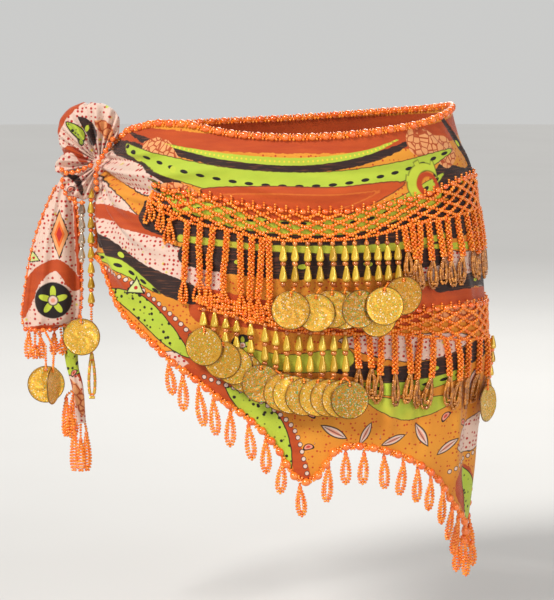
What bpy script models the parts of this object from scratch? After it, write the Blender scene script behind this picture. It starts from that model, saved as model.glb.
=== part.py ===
"""Belly dance hip scarf, tied at the wearer's right hip.

A printed chiffon triangle goes round the hips as a tube, open above and below.  Its long top edge is bound
with pearls, its slanting hem carries a bead trim with hanging seed-bead loops, and two bead nets with fringe,
strung drops and large flat coins lie on the front.  The two ends meet in a knot at -X and hang from it.

Frame: +Z up, the front of the wearer faces -Y, +X is the wearer's left.  The origin is the centre of the top
opening, where the hips hold the scarf.  All tables are in millimetres; a place on the garment is given by
t, the share of half the girth from the centre front (0) to the wearer's left side (0.5), the centre back (1)
and the wearer's right side (1.5 or -0.5), and by its height z.
"""
import bpy
import bmesh
import math
from mathutils import Vector, Matrix

# ------------------------------------------------------------------ driving sizes, millimetres
MM = 0.001
CLOTH = 1.6            # wall of the printed cloth
NET = 2.4              # thickness of a bead net
FRINGE = 2.6           # thickness of a fringe's reach
SEAM = 0.4             # gap between pieces that touch
LAY = 0.8              # clearance of what lies on the cloth
EDGE_R = 3.5           # pearls of the top edge
HEM_R = 2.3            # bead trim of the hem
COIN_R = 17.0
COIN_T = 0.6
STRAND_R = 2.4
ROUND = 2.35           # exponent of the hip's rounded-rectangle section
GIRTH_HALF = 445.0     # half girth used to turn t into millimetres
LEFT, SIDE, TIE = -0.5, 0.5, 1.5

FORM = (   # the general hip that the scarf is cut for
    # z, half_width, front_depth, back_depth
    (-420, 158, 95, 110),
    (-360, 162, 96, 112),
    (-315, 165, 97, 115),
    (-275, 168, 98, 118),
    (-235, 174, 99, 122),
    (-195, 178, 101, 126),
    (-160, 177, 103, 128),
    (-120, 174, 105, 127),
    (-80, 170, 105, 122),
    (-40, 163, 103, 113),
    (0, 150, 98, 101),
    (15, 146, 95, 95),
    (40, 141, 92, 90),
)
TOP_EDGE = (   # centre line of the pearls
    # t, z
    (-0.50, -24), (-0.455, -8), (-0.41, 2), (-0.36, 6), (-0.31, 10), (-0.245, 10), (-0.175, 5),
    (-0.105, 1), (0.0, -1), (0.085, 0), (0.15, 2), (0.22, 5), (0.295, 9), (0.37, 15), (0.43, 19),
    (0.50, 22), (0.70, 16), (1.0, 6), (1.3, 0), (1.42, -8), (1.50, -24),
)
HEM = (   # centre line of the bead trim
    # t, z
    (-0.50, -112), (-0.43, -116), (-0.39, -132), (-0.35, -151), (-0.31, -170), (-0.275, -182),
    (-0.233, -197), (-0.195, -211), (-0.147, -228), (-0.10, -244), (-0.056, -260), (-0.021, -280),
    (0.009, -302), (0.029, -307), (0.050, -304), (0.070, -292), (0.089, -279), (0.119, -275),
    (0.160, -277), (0.203, -282), (0.247, -290), (0.283, -300), (0.324, -314), (0.358, -332),
    (0.390, -346), (0.425, -360), (0.447, -377), (0.463, -372), (0.475, -320), (0.487, -275),
    (0.50, -262), (0.55, -252), (0.65, -244), (0.80, -236), (1.0, -222), (1.15, -204), (1.30, -172),
    (1.42, -132), (1.50, -112),
)
NET_UPPER = (
    # t, top, bottom
    (-0.290, -42, -62), (-0.260, -49, -66), (-0.194, -52, -76), (-0.128, -57, -81), (-0.060, -63, -88),
    (0.020, -67, -91), (0.100, -67, -90), (0.180, -62, -85), (0.250, -56, -77), (0.303, -50, -75),
    (0.370, -43, -71), (0.43, -41, -69), (0.50, -41, -69), (0.75, -45, -72), (1.0, -50, -77), (1.27, -46, -66),
)
NET_LOWER = (
    # t, top, bottom
    (-0.178, -135, -151), (-0.140, -138, -154), (-0.098, -144, -159), (-0.047, -149, -165), (0.017, -153, -171),
    (0.100, -155, -174), (0.165, -156, -174), (0.217, -156, -176), (0.275, -156, -180), (0.345, -155, -184),
    (0.42, -156, -186), (0.50, -157, -187), (0.75, -150, -178), (1.0, -140, -166), (1.10, -135, -158),
)
# reach of each fringe: it hangs from its net's lower edge, from start to end, down to foot; lift is its
# distance from the cloth at the top and at the foot
FRINGES = (
    # name, net, start, end, ((t, foot), ...), lift_top, lift_foot
    ("fringe_upper_left", NET_UPPER, -0.285, -0.042,
     ((-0.285, -77), (-0.258, -88), (-0.222, -98), (-0.214, -148), (-0.150, -149), (-0.097, -161), (-0.038, -165)), 1.0, 5.2),
    ("drops_upper", NET_UPPER, -0.030, 0.213, ((-0.03, -128), (0.055, -130), (0.12, -128), (0.213, -123)), 1.0, 5.2),
    ("fringe_upper_right", NET_UPPER, 0.2155, 0.4995, ((0.2155, -110), (0.228, -136), (0.32, -135), (0.40, -132), (0.5, -132)), 1.0, 4.0),
    ("fringe_upper_back", NET_UPPER, 0.5005, 1.265, ((0.5, -132), (0.75, -132), (1.0, -137), (1.2, -124), (1.27, -96)), 1.0, 4.0),
    ("drops_lower", NET_LOWER, -0.176, 0.113, ((-0.176, -166), (-0.14, -167), (-0.099, -184), (-0.047, -197), (-0.007, -208), (0.113, -208)), 1.0, 2.0),
    ("fringe_lower_right", NET_LOWER, 0.1155, 0.4995, ((0.1155, -232), (0.185, -238), (0.25, -243), (0.35, -247), (0.42, -248), (0.5, -248)), 1.0, 4.0),
    ("fringe_lower_back", NET_LOWER, 0.5005, 1.095, ((0.5, -248), (0.75, -238), (1.0, -224), (1.10, -214)), 1.0, 4.0),
)
FOLDS = (   # gathers that run from the knot, and soft swags of the panel
    # t0, z0, t1, z1, width, height
    (-0.485, -24, -0.31, -14, 8.0, 4.2),
    (-0.485, -28, -0.27, -40, 8.0, 5.0),
    (-0.480, -34, -0.30, -78, 8.0, 4.5),
    (-0.485, -42, -0.37, -112, 8.0, 4.0),
    (-0.497, -48, -0.455, -112, 7.0, 2.2),
    (-0.22, -22, 0.30, -24, 12.0, 1.8),
    (0.36, 2, 0.46, -36, 10.0, 1.8),
    (0.30, -190, 0.36, -318, 13.0, 2.6),
    (0.10, -196, 0.14, -270, 12.0, 2.0),
    (0.415, -190, 0.445, -362, 9.0, 3.2),
    (-0.06, -196, 0.01, -296, 12.0, 2.2),
    (-0.30, -100, -0.18, -190, 11.0, 1.8),
    (1.485, -24, 1.31, -22, 8.0, 4.2),
    (1.485, -32, 1.28, -62, 8.0, 4.6),
    (1.490, -42, 1.37, -112, 8.0, 4.0),
    (0.62, -20, 0.70, -225, 14.0, 2.2),
    (0.84, -20, 0.88, -220, 15.0, 2.0),
    (1.10, -22, 1.04, -205, 14.0, 2.2),
)
KNOT = (   # cloth balled up in the bow; centre, half sizes, how deep its creases are
    # name, x, y, z, rx, ry, rz, creases, depth, phase
    ("knot_core", -182.5, -4, -34, 7.0, 10, 13.5, 5, 0.06, 0.3),
    ("knot_lobe_top", -183, 6, 6, 25, 19, 23.5, 4, 0.07, 0.0),
    ("knot_lobe_front", -166, -27, 20, 10, 9, 10, 3, 0.05, 1.2),
    ("knot_lobe_side", -197, -23, -25.5, 14.5, 11, 9, 3, 0.08, 2.0),
    ("knot_loop_low", -195.5, -25, -49, 11, 8, 12, 2, 0.05, 0.4),
)
TAIL = (   # the wide end that hangs beside the hip
    # z, x_left, x_right, y_back, bulge
    (-44, -209, -199, -2, 2),
    (-56, -216, -198, -2, 5),
    (-74, -224, -195, -3, 9),
    (-96, -232, -193, -4, 13),
    (-120, -238, -191, -5, 15),
    (-145, -242, -191, -6, 16),
    (-170, -245, -193, -6, 16),
    (-181, -243, -213, -6, 13),
)
TAIL_NARROW = (   # the other end, rolled and twisted as it hangs
    # z, x, y, rx, ry, turn
    (-128, -203, 7, 4.0, 3.0, 0.0),
    (-160, -204, 5, 6.0, 4.0, 0.3),
    (-185, -203, 0, 7.5, 4.5, 0.7),
    (-207, -201, -7, 7.0, 4.5, 1.1),
    (-232, -196, -12, 8.0, 5.0, 1.6),
    (-256, -193, -15, 7.0, 4.5, 2.1),
    (-268, -192, -15, 5.0, 3.5, 2.4),
)
STRANDS = (   # strung drops that hang from the knot
    # name, x_top, z_top, x_foot, z_foot, y_top, y_foot
    ("strand_silver", -188.5, -64, -189.5, -123, -27, -26),
    ("strand_gold", -180.5, -50, -181.0, -168, -25, -25),
    ("strand_orange", -176.6, -52, -176.8, -107, -13, -14),
    ("strand_loop", -181.0, -202, -180.5, -243, -25, -25),
)
COINS = (   # hung flat coins, the rearmost first: each lies on the cloth and on those before it
    # name, x, z, turn_deg, tip_deg, clear of the hip
    ("coin_upper_4", 47, -151, -4, 3, 11.0),
    ("coin_upper_3", 36, -150, -6, -3, 11.0),
    ("coin_upper_2", 22, -153, -6, 0, 11.0),
    ("coin_upper_1", 0, -151, -5, 2, 11.0),
    ("coin_upper_7", 76, -158, 14, 0, 11.0),
    ("coin_upper_5", 60, -149, 24, 0, 11.0),
    ("coin_upper_8", 99, -139, 16, 0, 11.0),
    ("coin_upper_6", 82, -147, 12, 4, 11.0),
    ("coin_lower_4", -40, -208, -14, 0, 8.0),
    ("coin_lower_3", -50, -201, -14, 0, 8.0),
    ("coin_lower_2", -60, -196, -14, 0, 8.0),
    ("coin_lower_1", -76, -185, -16, 0, 8.0),
    ("coin_lower_5", -26, -216, 6, 0, 7.5),
    ("coin_lower_6", -7, -224, 8, 0, 7.5),
    ("coin_lower_7", 1, -226, 8, 0, 7.5),
    ("coin_lower_8", 12, -228, 8, 0, 7.5),
    ("coin_lower_9", 24, -228.5, 8, 0, 7.5),
    ("coin_lower_10", 34, -229, 8, 0, 7.5),
    ("coin_lower_11", 44, -230, 10, 0, 7.5),
    ("coin_lower_12", 52, -231, 12, 0, 7.5),
)
FREE_COINS = (   # coins that hang clear of the panel, by their centre and the way they face
    # name, x, y, z, turn_deg
    ("coin_side", 179.5, -40, -246, 60),
    ("coin_tail_1", -189.5, -34, -186, 0),
    ("coin_tail_2", -223.0, -24, -231, 8),
    ("coin_tail_3", -214.5, -46, -229, 74),
)
TASSELS = (   # reach of the seed-bead loops that hang from the ends
    # name, x, y, z_top, z_foot, rx, ry
    ("tassel_tail_wide", -233.5, -14, -183, -211, 6.5, 3.0),
    ("tassel_tail_mid", -212.5, -12, -184, -208, 4.0, 3.0),
    ("tassel_narrow_1", -204.5, -14, -243, -284, 5.5, 3.5),
    ("tassel_narrow_2", -192.5, -15, -270, -316, 6.5, 3.5),
)

ORANGE = (0.93, 0.36, 0.08)
PRINT = (0.80, 0.50, 0.22)
WHITE = (0.90, 0.78, 0.70)
GOLD = (0.80, 0.58, 0.15)
DROP = (0.76, 0.66, 0.20)


# ------------------------------------------------------------------ shape of the garment
def lookup(table, x, col):
    """Smooth value of one column of a table whose first column rises."""
    xs = [row[0] for row in table]
    ys = [row[col] for row in table]
    if x <= xs[0]:
        return ys[0]
    if x >= xs[-1]:
        return ys[-1]
    i = max(k for k in range(len(xs) - 1) if xs[k] <= x)

    def slope(k):
        if k == 0 or k == len(xs) - 1:
            return 0.0 if len(xs) < 3 else ((ys[1] - ys[0]) / (xs[1] - xs[0]) if k == 0 else (ys[-1] - ys[-2]) / (xs[-1] - xs[-2]))
        a = (ys[k] - ys[k - 1]) / (xs[k] - xs[k - 1])
        b = (ys[k + 1] - ys[k]) / (xs[k + 1] - xs[k])
        return 0.0 if a * b <= 0 else 2 * a * b / (a + b)

    h = xs[i + 1] - xs[i]
    u = (x - xs[i]) / h
    return (ys[i] * (1 + 2 * u) * (1 - u) ** 2 + slope(i) * h * u * (1 - u) ** 2
            + ys[i + 1] * u * u * (3 - 2 * u) + slope(i + 1) * h * u * u * (u - 1))


def quarter(depth):
    """Arc share along a quarter of the reference section, so that t runs evenly round the hip."""
    n, width = 400, 174.0
    out, run, last = [], 0.0, None
    for i in range(n + 1):
        ph = (i / n) * math.pi / 2
        p = (width * math.sin(ph) ** (2 / ROUND), depth * math.cos(ph) ** (2 / ROUND) if i < n else 0.0)
        if last is not None:
            run += math.hypot(p[0] - last[0], p[1] - last[1])
        out.append((run, ph))
        last = p
    return [(r / run * 0.5, ph) for r, ph in out]


FRONT_ARC, BACK_ARC = quarter(105.0), quarter(127.0)


def angle(share, arc):
    lo, hi = 0, len(arc) - 1
    while hi - lo > 1:
        mid = (lo + hi) // 2
        if arc[mid][0] <= share:
            lo = mid
        else:
            hi = mid
    (s0, p0), (s1, p1) = arc[lo], arc[hi]
    return p0 + (p1 - p0) * (share - s0) / (s1 - s0)


def place(t, z, off):
    """The point at t and z, off millimetres outside the hip, in millimetres."""
    if t > 1:
        t -= 2
    side = -1 if t < 0 else 1
    s = abs(t)
    a = lookup(FORM, z, 1) + off
    if s <= 0.5:
        ph, d, face = angle(s, FRONT_ARC), lookup(FORM, z, 2) + off, -1
    else:
        ph, d, face = angle(1 - s, BACK_ARC), lookup(FORM, z, 3) + off, 1
    return Vector((side * a * max(0.0, math.sin(ph)) ** (2 / ROUND), face * d * max(0.0, math.cos(ph)) ** (2 / ROUND), z))


def relief(t, z):
    """How far the cloth's folds stand out of the hip at t and z."""
    total = 0.0
    for t0, z0, t1, z1, width, height in FOLDS:
        ax, ay = (t - t0) * GIRTH_HALF, z - z0
        bx, by = (t1 - t0) * GIRTH_HALF, z1 - z0
        length = math.hypot(bx, by)
        u = (ax * bx + ay * by) / length ** 2
        d = abs(ax * by - ay * bx) / length
        if -0.15 < u < 1.25 and d < 3 * width:
            along = max(0.0, min(1.0, (u + 0.15) / 0.25)) * max(0.0, min(1.0, (1.25 - u) / 0.6))
            total = max(total, height * along * math.exp(-(d / width) ** 2))
    for knot_t in (LEFT, TIE):
        d = math.hypot((t - knot_t) * GIRTH_HALF, (z + 30) * 0.9)
        total += 8.5 * math.exp(-(d / 24.0) ** 2)
    return total


def normal(t, z):
    a, b = place(t - 0.004, z, 0), place(t + 0.004, z, 0)
    n = (b - a).cross(Vector((0, 0, 1)))
    return n.normalized()


# ------------------------------------------------------------------ making solids
COLLECTION = "belly_dance_hip_scarf"
for ob in list(bpy.data.objects):
    bpy.data.objects.remove(ob, do_unlink=True)
shelf = bpy.data.collections.new(COLLECTION)
bpy.context.scene.collection.children.link(shelf)


def material(name, colour, rough, metal=0.0):
    m = bpy.data.materials.new(name)
    m.use_nodes = True
    bsdf = m.node_tree.nodes["Principled BSDF"]
    bsdf.inputs["Base Color"].default_value = (*colour, 1)
    bsdf.inputs["Roughness"].default_value = rough
    bsdf.inputs["Metallic"].default_value = metal
    return m


def add(name, mesh, mat, smooth=True):
    ob = bpy.data.objects.new(name, mesh)
    shelf.objects.link(ob)
    mesh.materials.append(mat)
    if smooth:
        mesh.shade_smooth()
    return ob


def grid_mesh(name, rows):
    """An open surface through a grid of points in millimetres."""
    bm = bmesh.new()
    verts = [[bm.verts.new(Vector(p) * MM) for p in row] for row in rows]
    for lower, upper in zip(verts, verts[1:]):
        for k in range(len(lower) - 1):
            bm.faces.new((lower[k], lower[k + 1], upper[k + 1], upper[k]))
    mesh = bpy.data.meshes.new(name)
    bm.to_mesh(mesh)
    bm.free()
    return mesh


def shell(name, rows, thickness, mat):
    ob = add(name, grid_mesh(name, rows), mat)
    mod = ob.modifiers.new("wall", "SOLIDIFY")
    mod.thickness = thickness * MM
    mod.offset = 1.0
    mod.use_rim = True
    return ob


def spread(start, end, step):
    n = max(1, round((end - start) * GIRTH_HALF / step))
    return [start + (end - start) * k / n for k in range(n + 1)]


def band(name, ts, top, foot, off, thickness, mat, rows):
    """A wall that follows the panel, from its foot line up to its top line."""
    grid = []
    for j in range(rows + 1):
        v = j / rows
        grid.append([place(t, foot(t) + (top(t) - foot(t)) * v, off(t, foot(t) + (top(t) - foot(t)) * v, v)) for t in ts])
    return shell(name, grid, thickness, mat)


def tube(name, points, radius, mat, resolution=2):
    curve = bpy.data.curves.new(name, "CURVE")
    curve.dimensions = "3D"
    curve.bevel_depth = radius * MM
    curve.bevel_resolution = resolution
    curve.use_fill_caps = True
    spline = curve.splines.new("POLY")
    spline.points.add(len(points) - 1)
    for p, q in zip(spline.points, points):
        p.co = (*(Vector(q) * MM), 1)
    ob = bpy.data.objects.new(name, curve)
    curve.materials.append(mat)
    shelf.objects.link(ob)
    return ob


def lobe(name, centre, half, creases, depth, phase, mat, segments=16, rings=10):
    """A puffed ball of cloth with creases that run towards its ends."""
    bm = bmesh.new()
    bmesh.ops.create_uvsphere(bm, u_segments=segments, v_segments=rings, radius=1.0)
    for v in bm.verts:
        around = math.atan2(v.co.y, v.co.x)
        swell = 1 + depth * math.cos(creases * around + phase) * (1 - v.co.z ** 2)
        v.co = Vector((v.co.x * swell * half[0], v.co.y * swell * half[1], v.co.z * half[2])) * MM
    mesh = bpy.data.meshes.new(name)
    bm.to_mesh(mesh)
    bm.free()
    ob = add(name, mesh, mat)
    ob.location = Vector(centre) * MM
    return ob


def coin(name, centre, facing, mat):
    bm = bmesh.new()
    bmesh.ops.create_cone(bm, cap_ends=True, segments=24, radius1=COIN_R * MM, radius2=COIN_R * MM, depth=COIN_T * MM)
    mesh = bpy.data.meshes.new(name)
    bm.to_mesh(mesh)
    bm.free()
    ob = add(name, mesh, mat, smooth=False)
    y = Vector((0, 0, 1)).cross(facing).normalized()
    up = facing.cross(y).normalized()
    ob.matrix_world = Matrix.Translation(Vector(centre) * MM) @ Matrix((y, up, facing)).transposed().to_4x4()
    return ob


cloth = material("printed_chiffon", PRINT, 0.55)
white = material("spotted_chiffon", WHITE, 0.55)
beads = material("orange_beads", ORANGE, 0.28)
pearls = material("orange_pearls", (0.95, 0.52, 0.26), 0.22)
gilt = material("glitter_coin", GOLD, 0.3, 0.9)
drops = material("gold_drops", DROP, 0.25, 0.3)

# the wrapped cloth, one stretch before and one behind
def beside(table, t, r, way):
    """The line r millimetres above (way 1) or below (way -1) a table's line, square to its slope."""
    return way * max(way * lookup(table, t + r * k / 8 / GIRTH_HALF, 1) + r * math.sqrt(1 - (k / 8) ** 2) for k in range(-8, 9))


def cloth_top(t):
    return beside(TOP_EDGE, t, EDGE_R + SEAM + 0.5, -1)


def cloth_foot(t):
    return beside(HEM, t, HEM_R + SEAM + 1.2, 1)


def on_hip(t, z, v):
    return relief(t, z)


front_ts = spread(-0.4995, 0.40, 11) + [0.42, 0.436, 0.447, 0.455, 0.463, 0.472, 0.480, 0.490, 0.4995]
back_ts = spread(0.5005, 1.4995, 15)
band("wrap_front", front_ts, cloth_top, cloth_foot, on_hip, CLOTH, cloth, 14)
band("wrap_back", back_ts, cloth_top, cloth_foot, on_hip, CLOTH, cloth, 10)

# bead edge and hem trim, each from one side of the knot to the other
def line(table, start, end, step, lift, ts=None):
    out = []
    for t in ts or spread(start, end, step):
        z = lookup(table, t, 1)
        out.append(place(t, z, relief(t, z) + lift))
    return out


tube("edge_beads", line(TOP_EDGE, -0.462, 1.455, 14, 1.2), EDGE_R, pearls)
tube("hem_trim_front", line(HEM, 0, 0, 0, 0.8, [-0.498] + front_ts[1:-1] + [0.4955]), HEM_R, beads, 1)
tube("hem_trim_back", line(HEM, 0.5035, 1.498, 16, 0.8), HEM_R, beads, 1)


def columns(start, end):
    """The panel's own columns between two places, so that what lies on it follows its faces."""
    return [start] + [t for t in front_ts + back_ts if start + 0.006 < t < end - 0.006] + [end]


# the two bead nets, before and behind
for name, table, start, end in (("net_upper_front", NET_UPPER, -0.290, 0.4995), ("net_upper_back", NET_UPPER, 0.5005, 1.27),
                                ("net_lower_front", NET_LOWER, -0.178, 0.4995), ("net_lower_back", NET_LOWER, 0.5005, 1.10)):
    band(name, columns(start, end), lambda t, k=table: lookup(k, t, 1), lambda t, k=table: lookup(k, t, 2),
         lambda t, z, v: relief(t, z) + CLOTH + LAY, NET, beads, 2)

# fringes and strung drops that hang from the nets
for name, net, start, end, foot, lift_top, lift_foot in FRINGES:
    band(name, columns(start, end), lambda t, k=net: lookup(k, t, 2) - SEAM - 0.3, lambda t, k=foot: lookup(k, t, 1),
         lambda t, z, v, a=lift_top, b=lift_foot: relief(t, z) + CLOTH + b + (a - b) * v,
         FRINGE, drops if name.startswith("drops") else beads, 3)

# reach of the seed-bead loops under the hem
def loops_top(t):
    return beside(HEM, t, HEM_R + SEAM + 0.8, -1)


for name, start, end, reach in (("loops_front_left", -0.24, 0.046, 33), ("loops_front_right", 0.054, 0.405, 31),
                                ("loops_back", 0.56, 1.36, 30)):
    band(name, columns(start, end), loops_top, lambda t, r=reach: loops_top(t) - r,
         lambda t, z, v: relief(t, z) * v, 2.0, beads, 2)
tube("tassel_apex", [place(0.447, z, 3.0 + 2.0 * k / 4) for k, z in enumerate((-381, -389, -397, -405, -412))], 4.0, beads, 1)

# the knot
for name, x, y, z, rx, ry, rz, creases, depth, phase in KNOT:
    lobe(name, (x, y, z), (rx, ry, rz), creases, depth, phase, white if "top" in name or "front" in name else cloth)

# the wide end: a sheet that curls back along both of its edges
TURN = math.radians(76)
rows = []
for z, x_left, x_right, y_back, bulge in reversed(TAIL):
    mid, half = (x_left + x_right) / 2, (x_right - x_left) / 2
    row = []
    for k in range(13):
        u = -1 + 2 * k / 12
        wave = 0.10 * bulge * math.sin(3.2 * math.pi * u + z * 0.012)
        row.append((mid + half * math.sin(TURN * u) / math.sin(TURN), y_back - bulge * math.cos(TURN * u) - wave, z))
    rows.append(row)
shell("tail_wide", rows, CLOTH, white)

# the narrow end: rolled on itself, each section turned a little more
bm = bmesh.new()
rings = []
for z, x, y, rx, ry, turn in TAIL_NARROW:
    ring = []
    for k in range(12):
        a = 2 * math.pi * k / 12
        p, q = rx * math.cos(a), ry * math.sin(a)
        ring.append(bm.verts.new(Vector((x + p * math.cos(turn) - q * math.sin(turn), y + (p * math.sin(turn) + q * math.cos(turn)) * 0.8, z)) * MM))
    rings.append(ring)
for a, b in zip(rings, rings[1:]):
    for k in range(12):
        bm.faces.new((a[k], b[k], b[(k + 1) % 12], a[(k + 1) % 12]))
bm.faces.new(rings[0])
bm.faces.new(reversed(rings[-1]))
bmesh.ops.recalc_face_normals(bm, faces=bm.faces)
mesh = bpy.data.meshes.new("tail_narrow")
bm.to_mesh(mesh)
bm.free()
add("tail_narrow", mesh, white)

for name, x_top, z_top, x_foot, z_foot, y_top, y_foot in STRANDS:
    tube(name, [(x_top + (x_foot - x_top) * k / 4, y_top + (y_foot - y_top) * k / 4, z_top + (z_foot - z_top) * k / 4) for k in range(5)],
         STRAND_R, drops if name != "strand_orange" else beads, 1)

for name, x, y, z_top, z_foot, rx, ry in TASSELS:
    lobe(name, (x, y, (z_top + z_foot) / 2), (rx, ry, (z_top - z_foot) / 2), 2, 0.04, 0.0, beads, 12, 8)

# coins
def hip_front(x, z, off):
    """y of the front of the hip, off millimetres out, at x and z."""
    a, f = lookup(FORM, z, 1) + off, lookup(FORM, z, 2) + off
    return -f * max(0.0, 1 - (abs(x) / a) ** ROUND) ** (1 / ROUND)


def settle(x, z, facing, clear, under):
    """y of a coin's middle when it lies on the hip and on the coins under it."""
    y = 1e9
    for ring in (0.0, 0.35, 0.7, 0.9, 1.0):
        for k in range(24):
            a = 2 * math.pi * k / 24
            dx, dz = ring * COIN_R * math.cos(a), ring * COIN_R * math.sin(a)
            rise = -(facing.x * dx + facing.z * dz) / facing.y
            y = min(y, hip_front(x + dx, z + dz, clear) - rise)
            for px, pz, py, pf in under:
                ex, ez = x + dx - px, z + dz - pz
                if math.hypot(ex, ez) < COIN_R + 1.0:
                    y = min(y, py - (pf.x * ex + pf.z * ez) / pf.y - (COIN_T + 0.7) - rise)
            if ring == 0.0:
                break
    for px, pz, py, pf in under:      # and the rims of those under it
        for k in range(24):
            a = 2 * math.pi * k / 24
            dx, dz = px + COIN_R * math.cos(a) - x, pz + COIN_R * math.sin(a) - z
            if math.hypot(dx, dz) < COIN_R + 1.0:
                ex, ez = x + dx - px, z + dz - pz
                y = min(y, py - (pf.x * ex + pf.z * ez) / pf.y - (COIN_T + 0.7) + (facing.x * dx + facing.z * dz) / facing.y)
    return y


laid = []
for name, x, z, turn, tip, clear in COINS:
    a, b = math.radians(turn), math.radians(tip)
    facing = Vector((math.sin(a) * math.cos(b), -math.cos(a) * math.cos(b), math.sin(b)))
    y = settle(x, z, facing, clear, laid)
    laid.append((x, z, y, facing))
    coin(name, (x, y, z), facing, gilt)
for name, x, y, z, turn in FREE_COINS:
    a = math.radians(turn)
    coin(name, (x, y, z), Vector((math.sin(a), -math.cos(a), 0)), gilt)
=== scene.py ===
"""Looks of the belly dance hip scarf: printed chiffon, seed-bead nets and fringes, strung drops, glitter coins."""
import math
import bpy
import numpy as np
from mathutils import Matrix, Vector


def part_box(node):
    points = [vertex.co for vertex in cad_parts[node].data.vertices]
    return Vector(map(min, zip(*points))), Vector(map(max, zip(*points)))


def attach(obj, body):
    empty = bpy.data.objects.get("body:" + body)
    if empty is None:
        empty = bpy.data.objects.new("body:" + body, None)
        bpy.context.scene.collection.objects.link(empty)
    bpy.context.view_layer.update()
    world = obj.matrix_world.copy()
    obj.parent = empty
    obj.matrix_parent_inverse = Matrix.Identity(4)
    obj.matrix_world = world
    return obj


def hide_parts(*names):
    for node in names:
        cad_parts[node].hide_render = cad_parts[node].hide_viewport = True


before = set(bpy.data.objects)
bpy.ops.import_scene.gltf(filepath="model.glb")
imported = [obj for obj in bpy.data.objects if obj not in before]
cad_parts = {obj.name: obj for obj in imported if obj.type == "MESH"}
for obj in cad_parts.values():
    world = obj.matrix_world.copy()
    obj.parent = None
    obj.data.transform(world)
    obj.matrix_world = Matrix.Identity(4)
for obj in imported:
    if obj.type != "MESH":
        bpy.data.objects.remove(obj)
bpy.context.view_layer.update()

rng = np.random.default_rng(11)

# ------------------------------------------------------------------ driving sizes, millimetres
MM = 0.001
CLOTH = 1.6            # wall of the printed cloth
NET = 2.4              # thickness of a bead net
FRINGE = 2.6           # thickness of a fringe's reach
SEAM = 0.4             # gap between pieces that touch
LAY = 0.8              # clearance of what lies on the cloth
EDGE_R = 3.5           # pearls of the top edge
HEM_R = 2.3            # bead trim of the hem
COIN_R = 17.0
COIN_T = 0.6
STRAND_R = 2.4
ROUND = 2.35           # exponent of the hip's rounded-rectangle section
GIRTH_HALF = 445.0     # half girth used to turn t into millimetres
LEFT, SIDE, TIE = -0.5, 0.5, 1.5

FORM = (   # the general hip that the scarf is cut for
    # z, half_width, front_depth, back_depth
    (-420, 158, 95, 110),
    (-360, 162, 96, 112),
    (-315, 165, 97, 115),
    (-275, 168, 98, 118),
    (-235, 174, 99, 122),
    (-195, 178, 101, 126),
    (-160, 177, 103, 128),
    (-120, 174, 105, 127),
    (-80, 170, 105, 122),
    (-40, 163, 103, 113),
    (0, 150, 98, 101),
    (15, 146, 95, 95),
    (40, 141, 92, 90),
)
TOP_EDGE = (   # centre line of the pearls
    # t, z
    (-0.50, -24), (-0.455, -8), (-0.41, 2), (-0.36, 6), (-0.31, 10), (-0.245, 10), (-0.175, 5),
    (-0.105, 1), (0.0, -1), (0.085, 0), (0.15, 2), (0.22, 5), (0.295, 9), (0.37, 15), (0.43, 19),
    (0.50, 22), (0.70, 16), (1.0, 6), (1.3, 0), (1.42, -8), (1.50, -24),
)
HEM = (   # centre line of the bead trim
    # t, z
    (-0.50, -112), (-0.43, -116), (-0.39, -132), (-0.35, -151), (-0.31, -170), (-0.275, -182),
    (-0.233, -197), (-0.195, -211), (-0.147, -228), (-0.10, -244), (-0.056, -260), (-0.021, -280),
    (0.009, -302), (0.029, -307), (0.050, -304), (0.070, -292), (0.089, -279), (0.119, -275),
    (0.160, -277), (0.203, -282), (0.247, -290), (0.283, -300), (0.324, -314), (0.358, -332),
    (0.390, -346), (0.425, -360), (0.447, -377), (0.463, -372), (0.475, -320), (0.487, -275),
    (0.50, -262), (0.55, -252), (0.65, -244), (0.80, -236), (1.0, -222), (1.15, -204), (1.30, -172),
    (1.42, -132), (1.50, -112),
)
NET_UPPER = (
    # t, top, bottom
    (-0.290, -42, -62), (-0.260, -49, -66), (-0.194, -52, -76), (-0.128, -57, -81), (-0.060, -63, -88),
    (0.020, -67, -91), (0.100, -67, -90), (0.180, -62, -85), (0.250, -56, -77), (0.303, -50, -75),
    (0.370, -43, -71), (0.43, -41, -69), (0.50, -41, -69), (0.75, -45, -72), (1.0, -50, -77), (1.27, -46, -66),
)
NET_LOWER = (
    # t, top, bottom
    (-0.178, -135, -151), (-0.140, -138, -154), (-0.098, -144, -159), (-0.047, -149, -165), (0.017, -153, -171),
    (0.100, -155, -174), (0.165, -156, -174), (0.217, -156, -176), (0.275, -156, -180), (0.345, -155, -184),
    (0.42, -156, -186), (0.50, -157, -187), (0.75, -150, -178), (1.0, -140, -166), (1.10, -135, -158),
)
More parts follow.
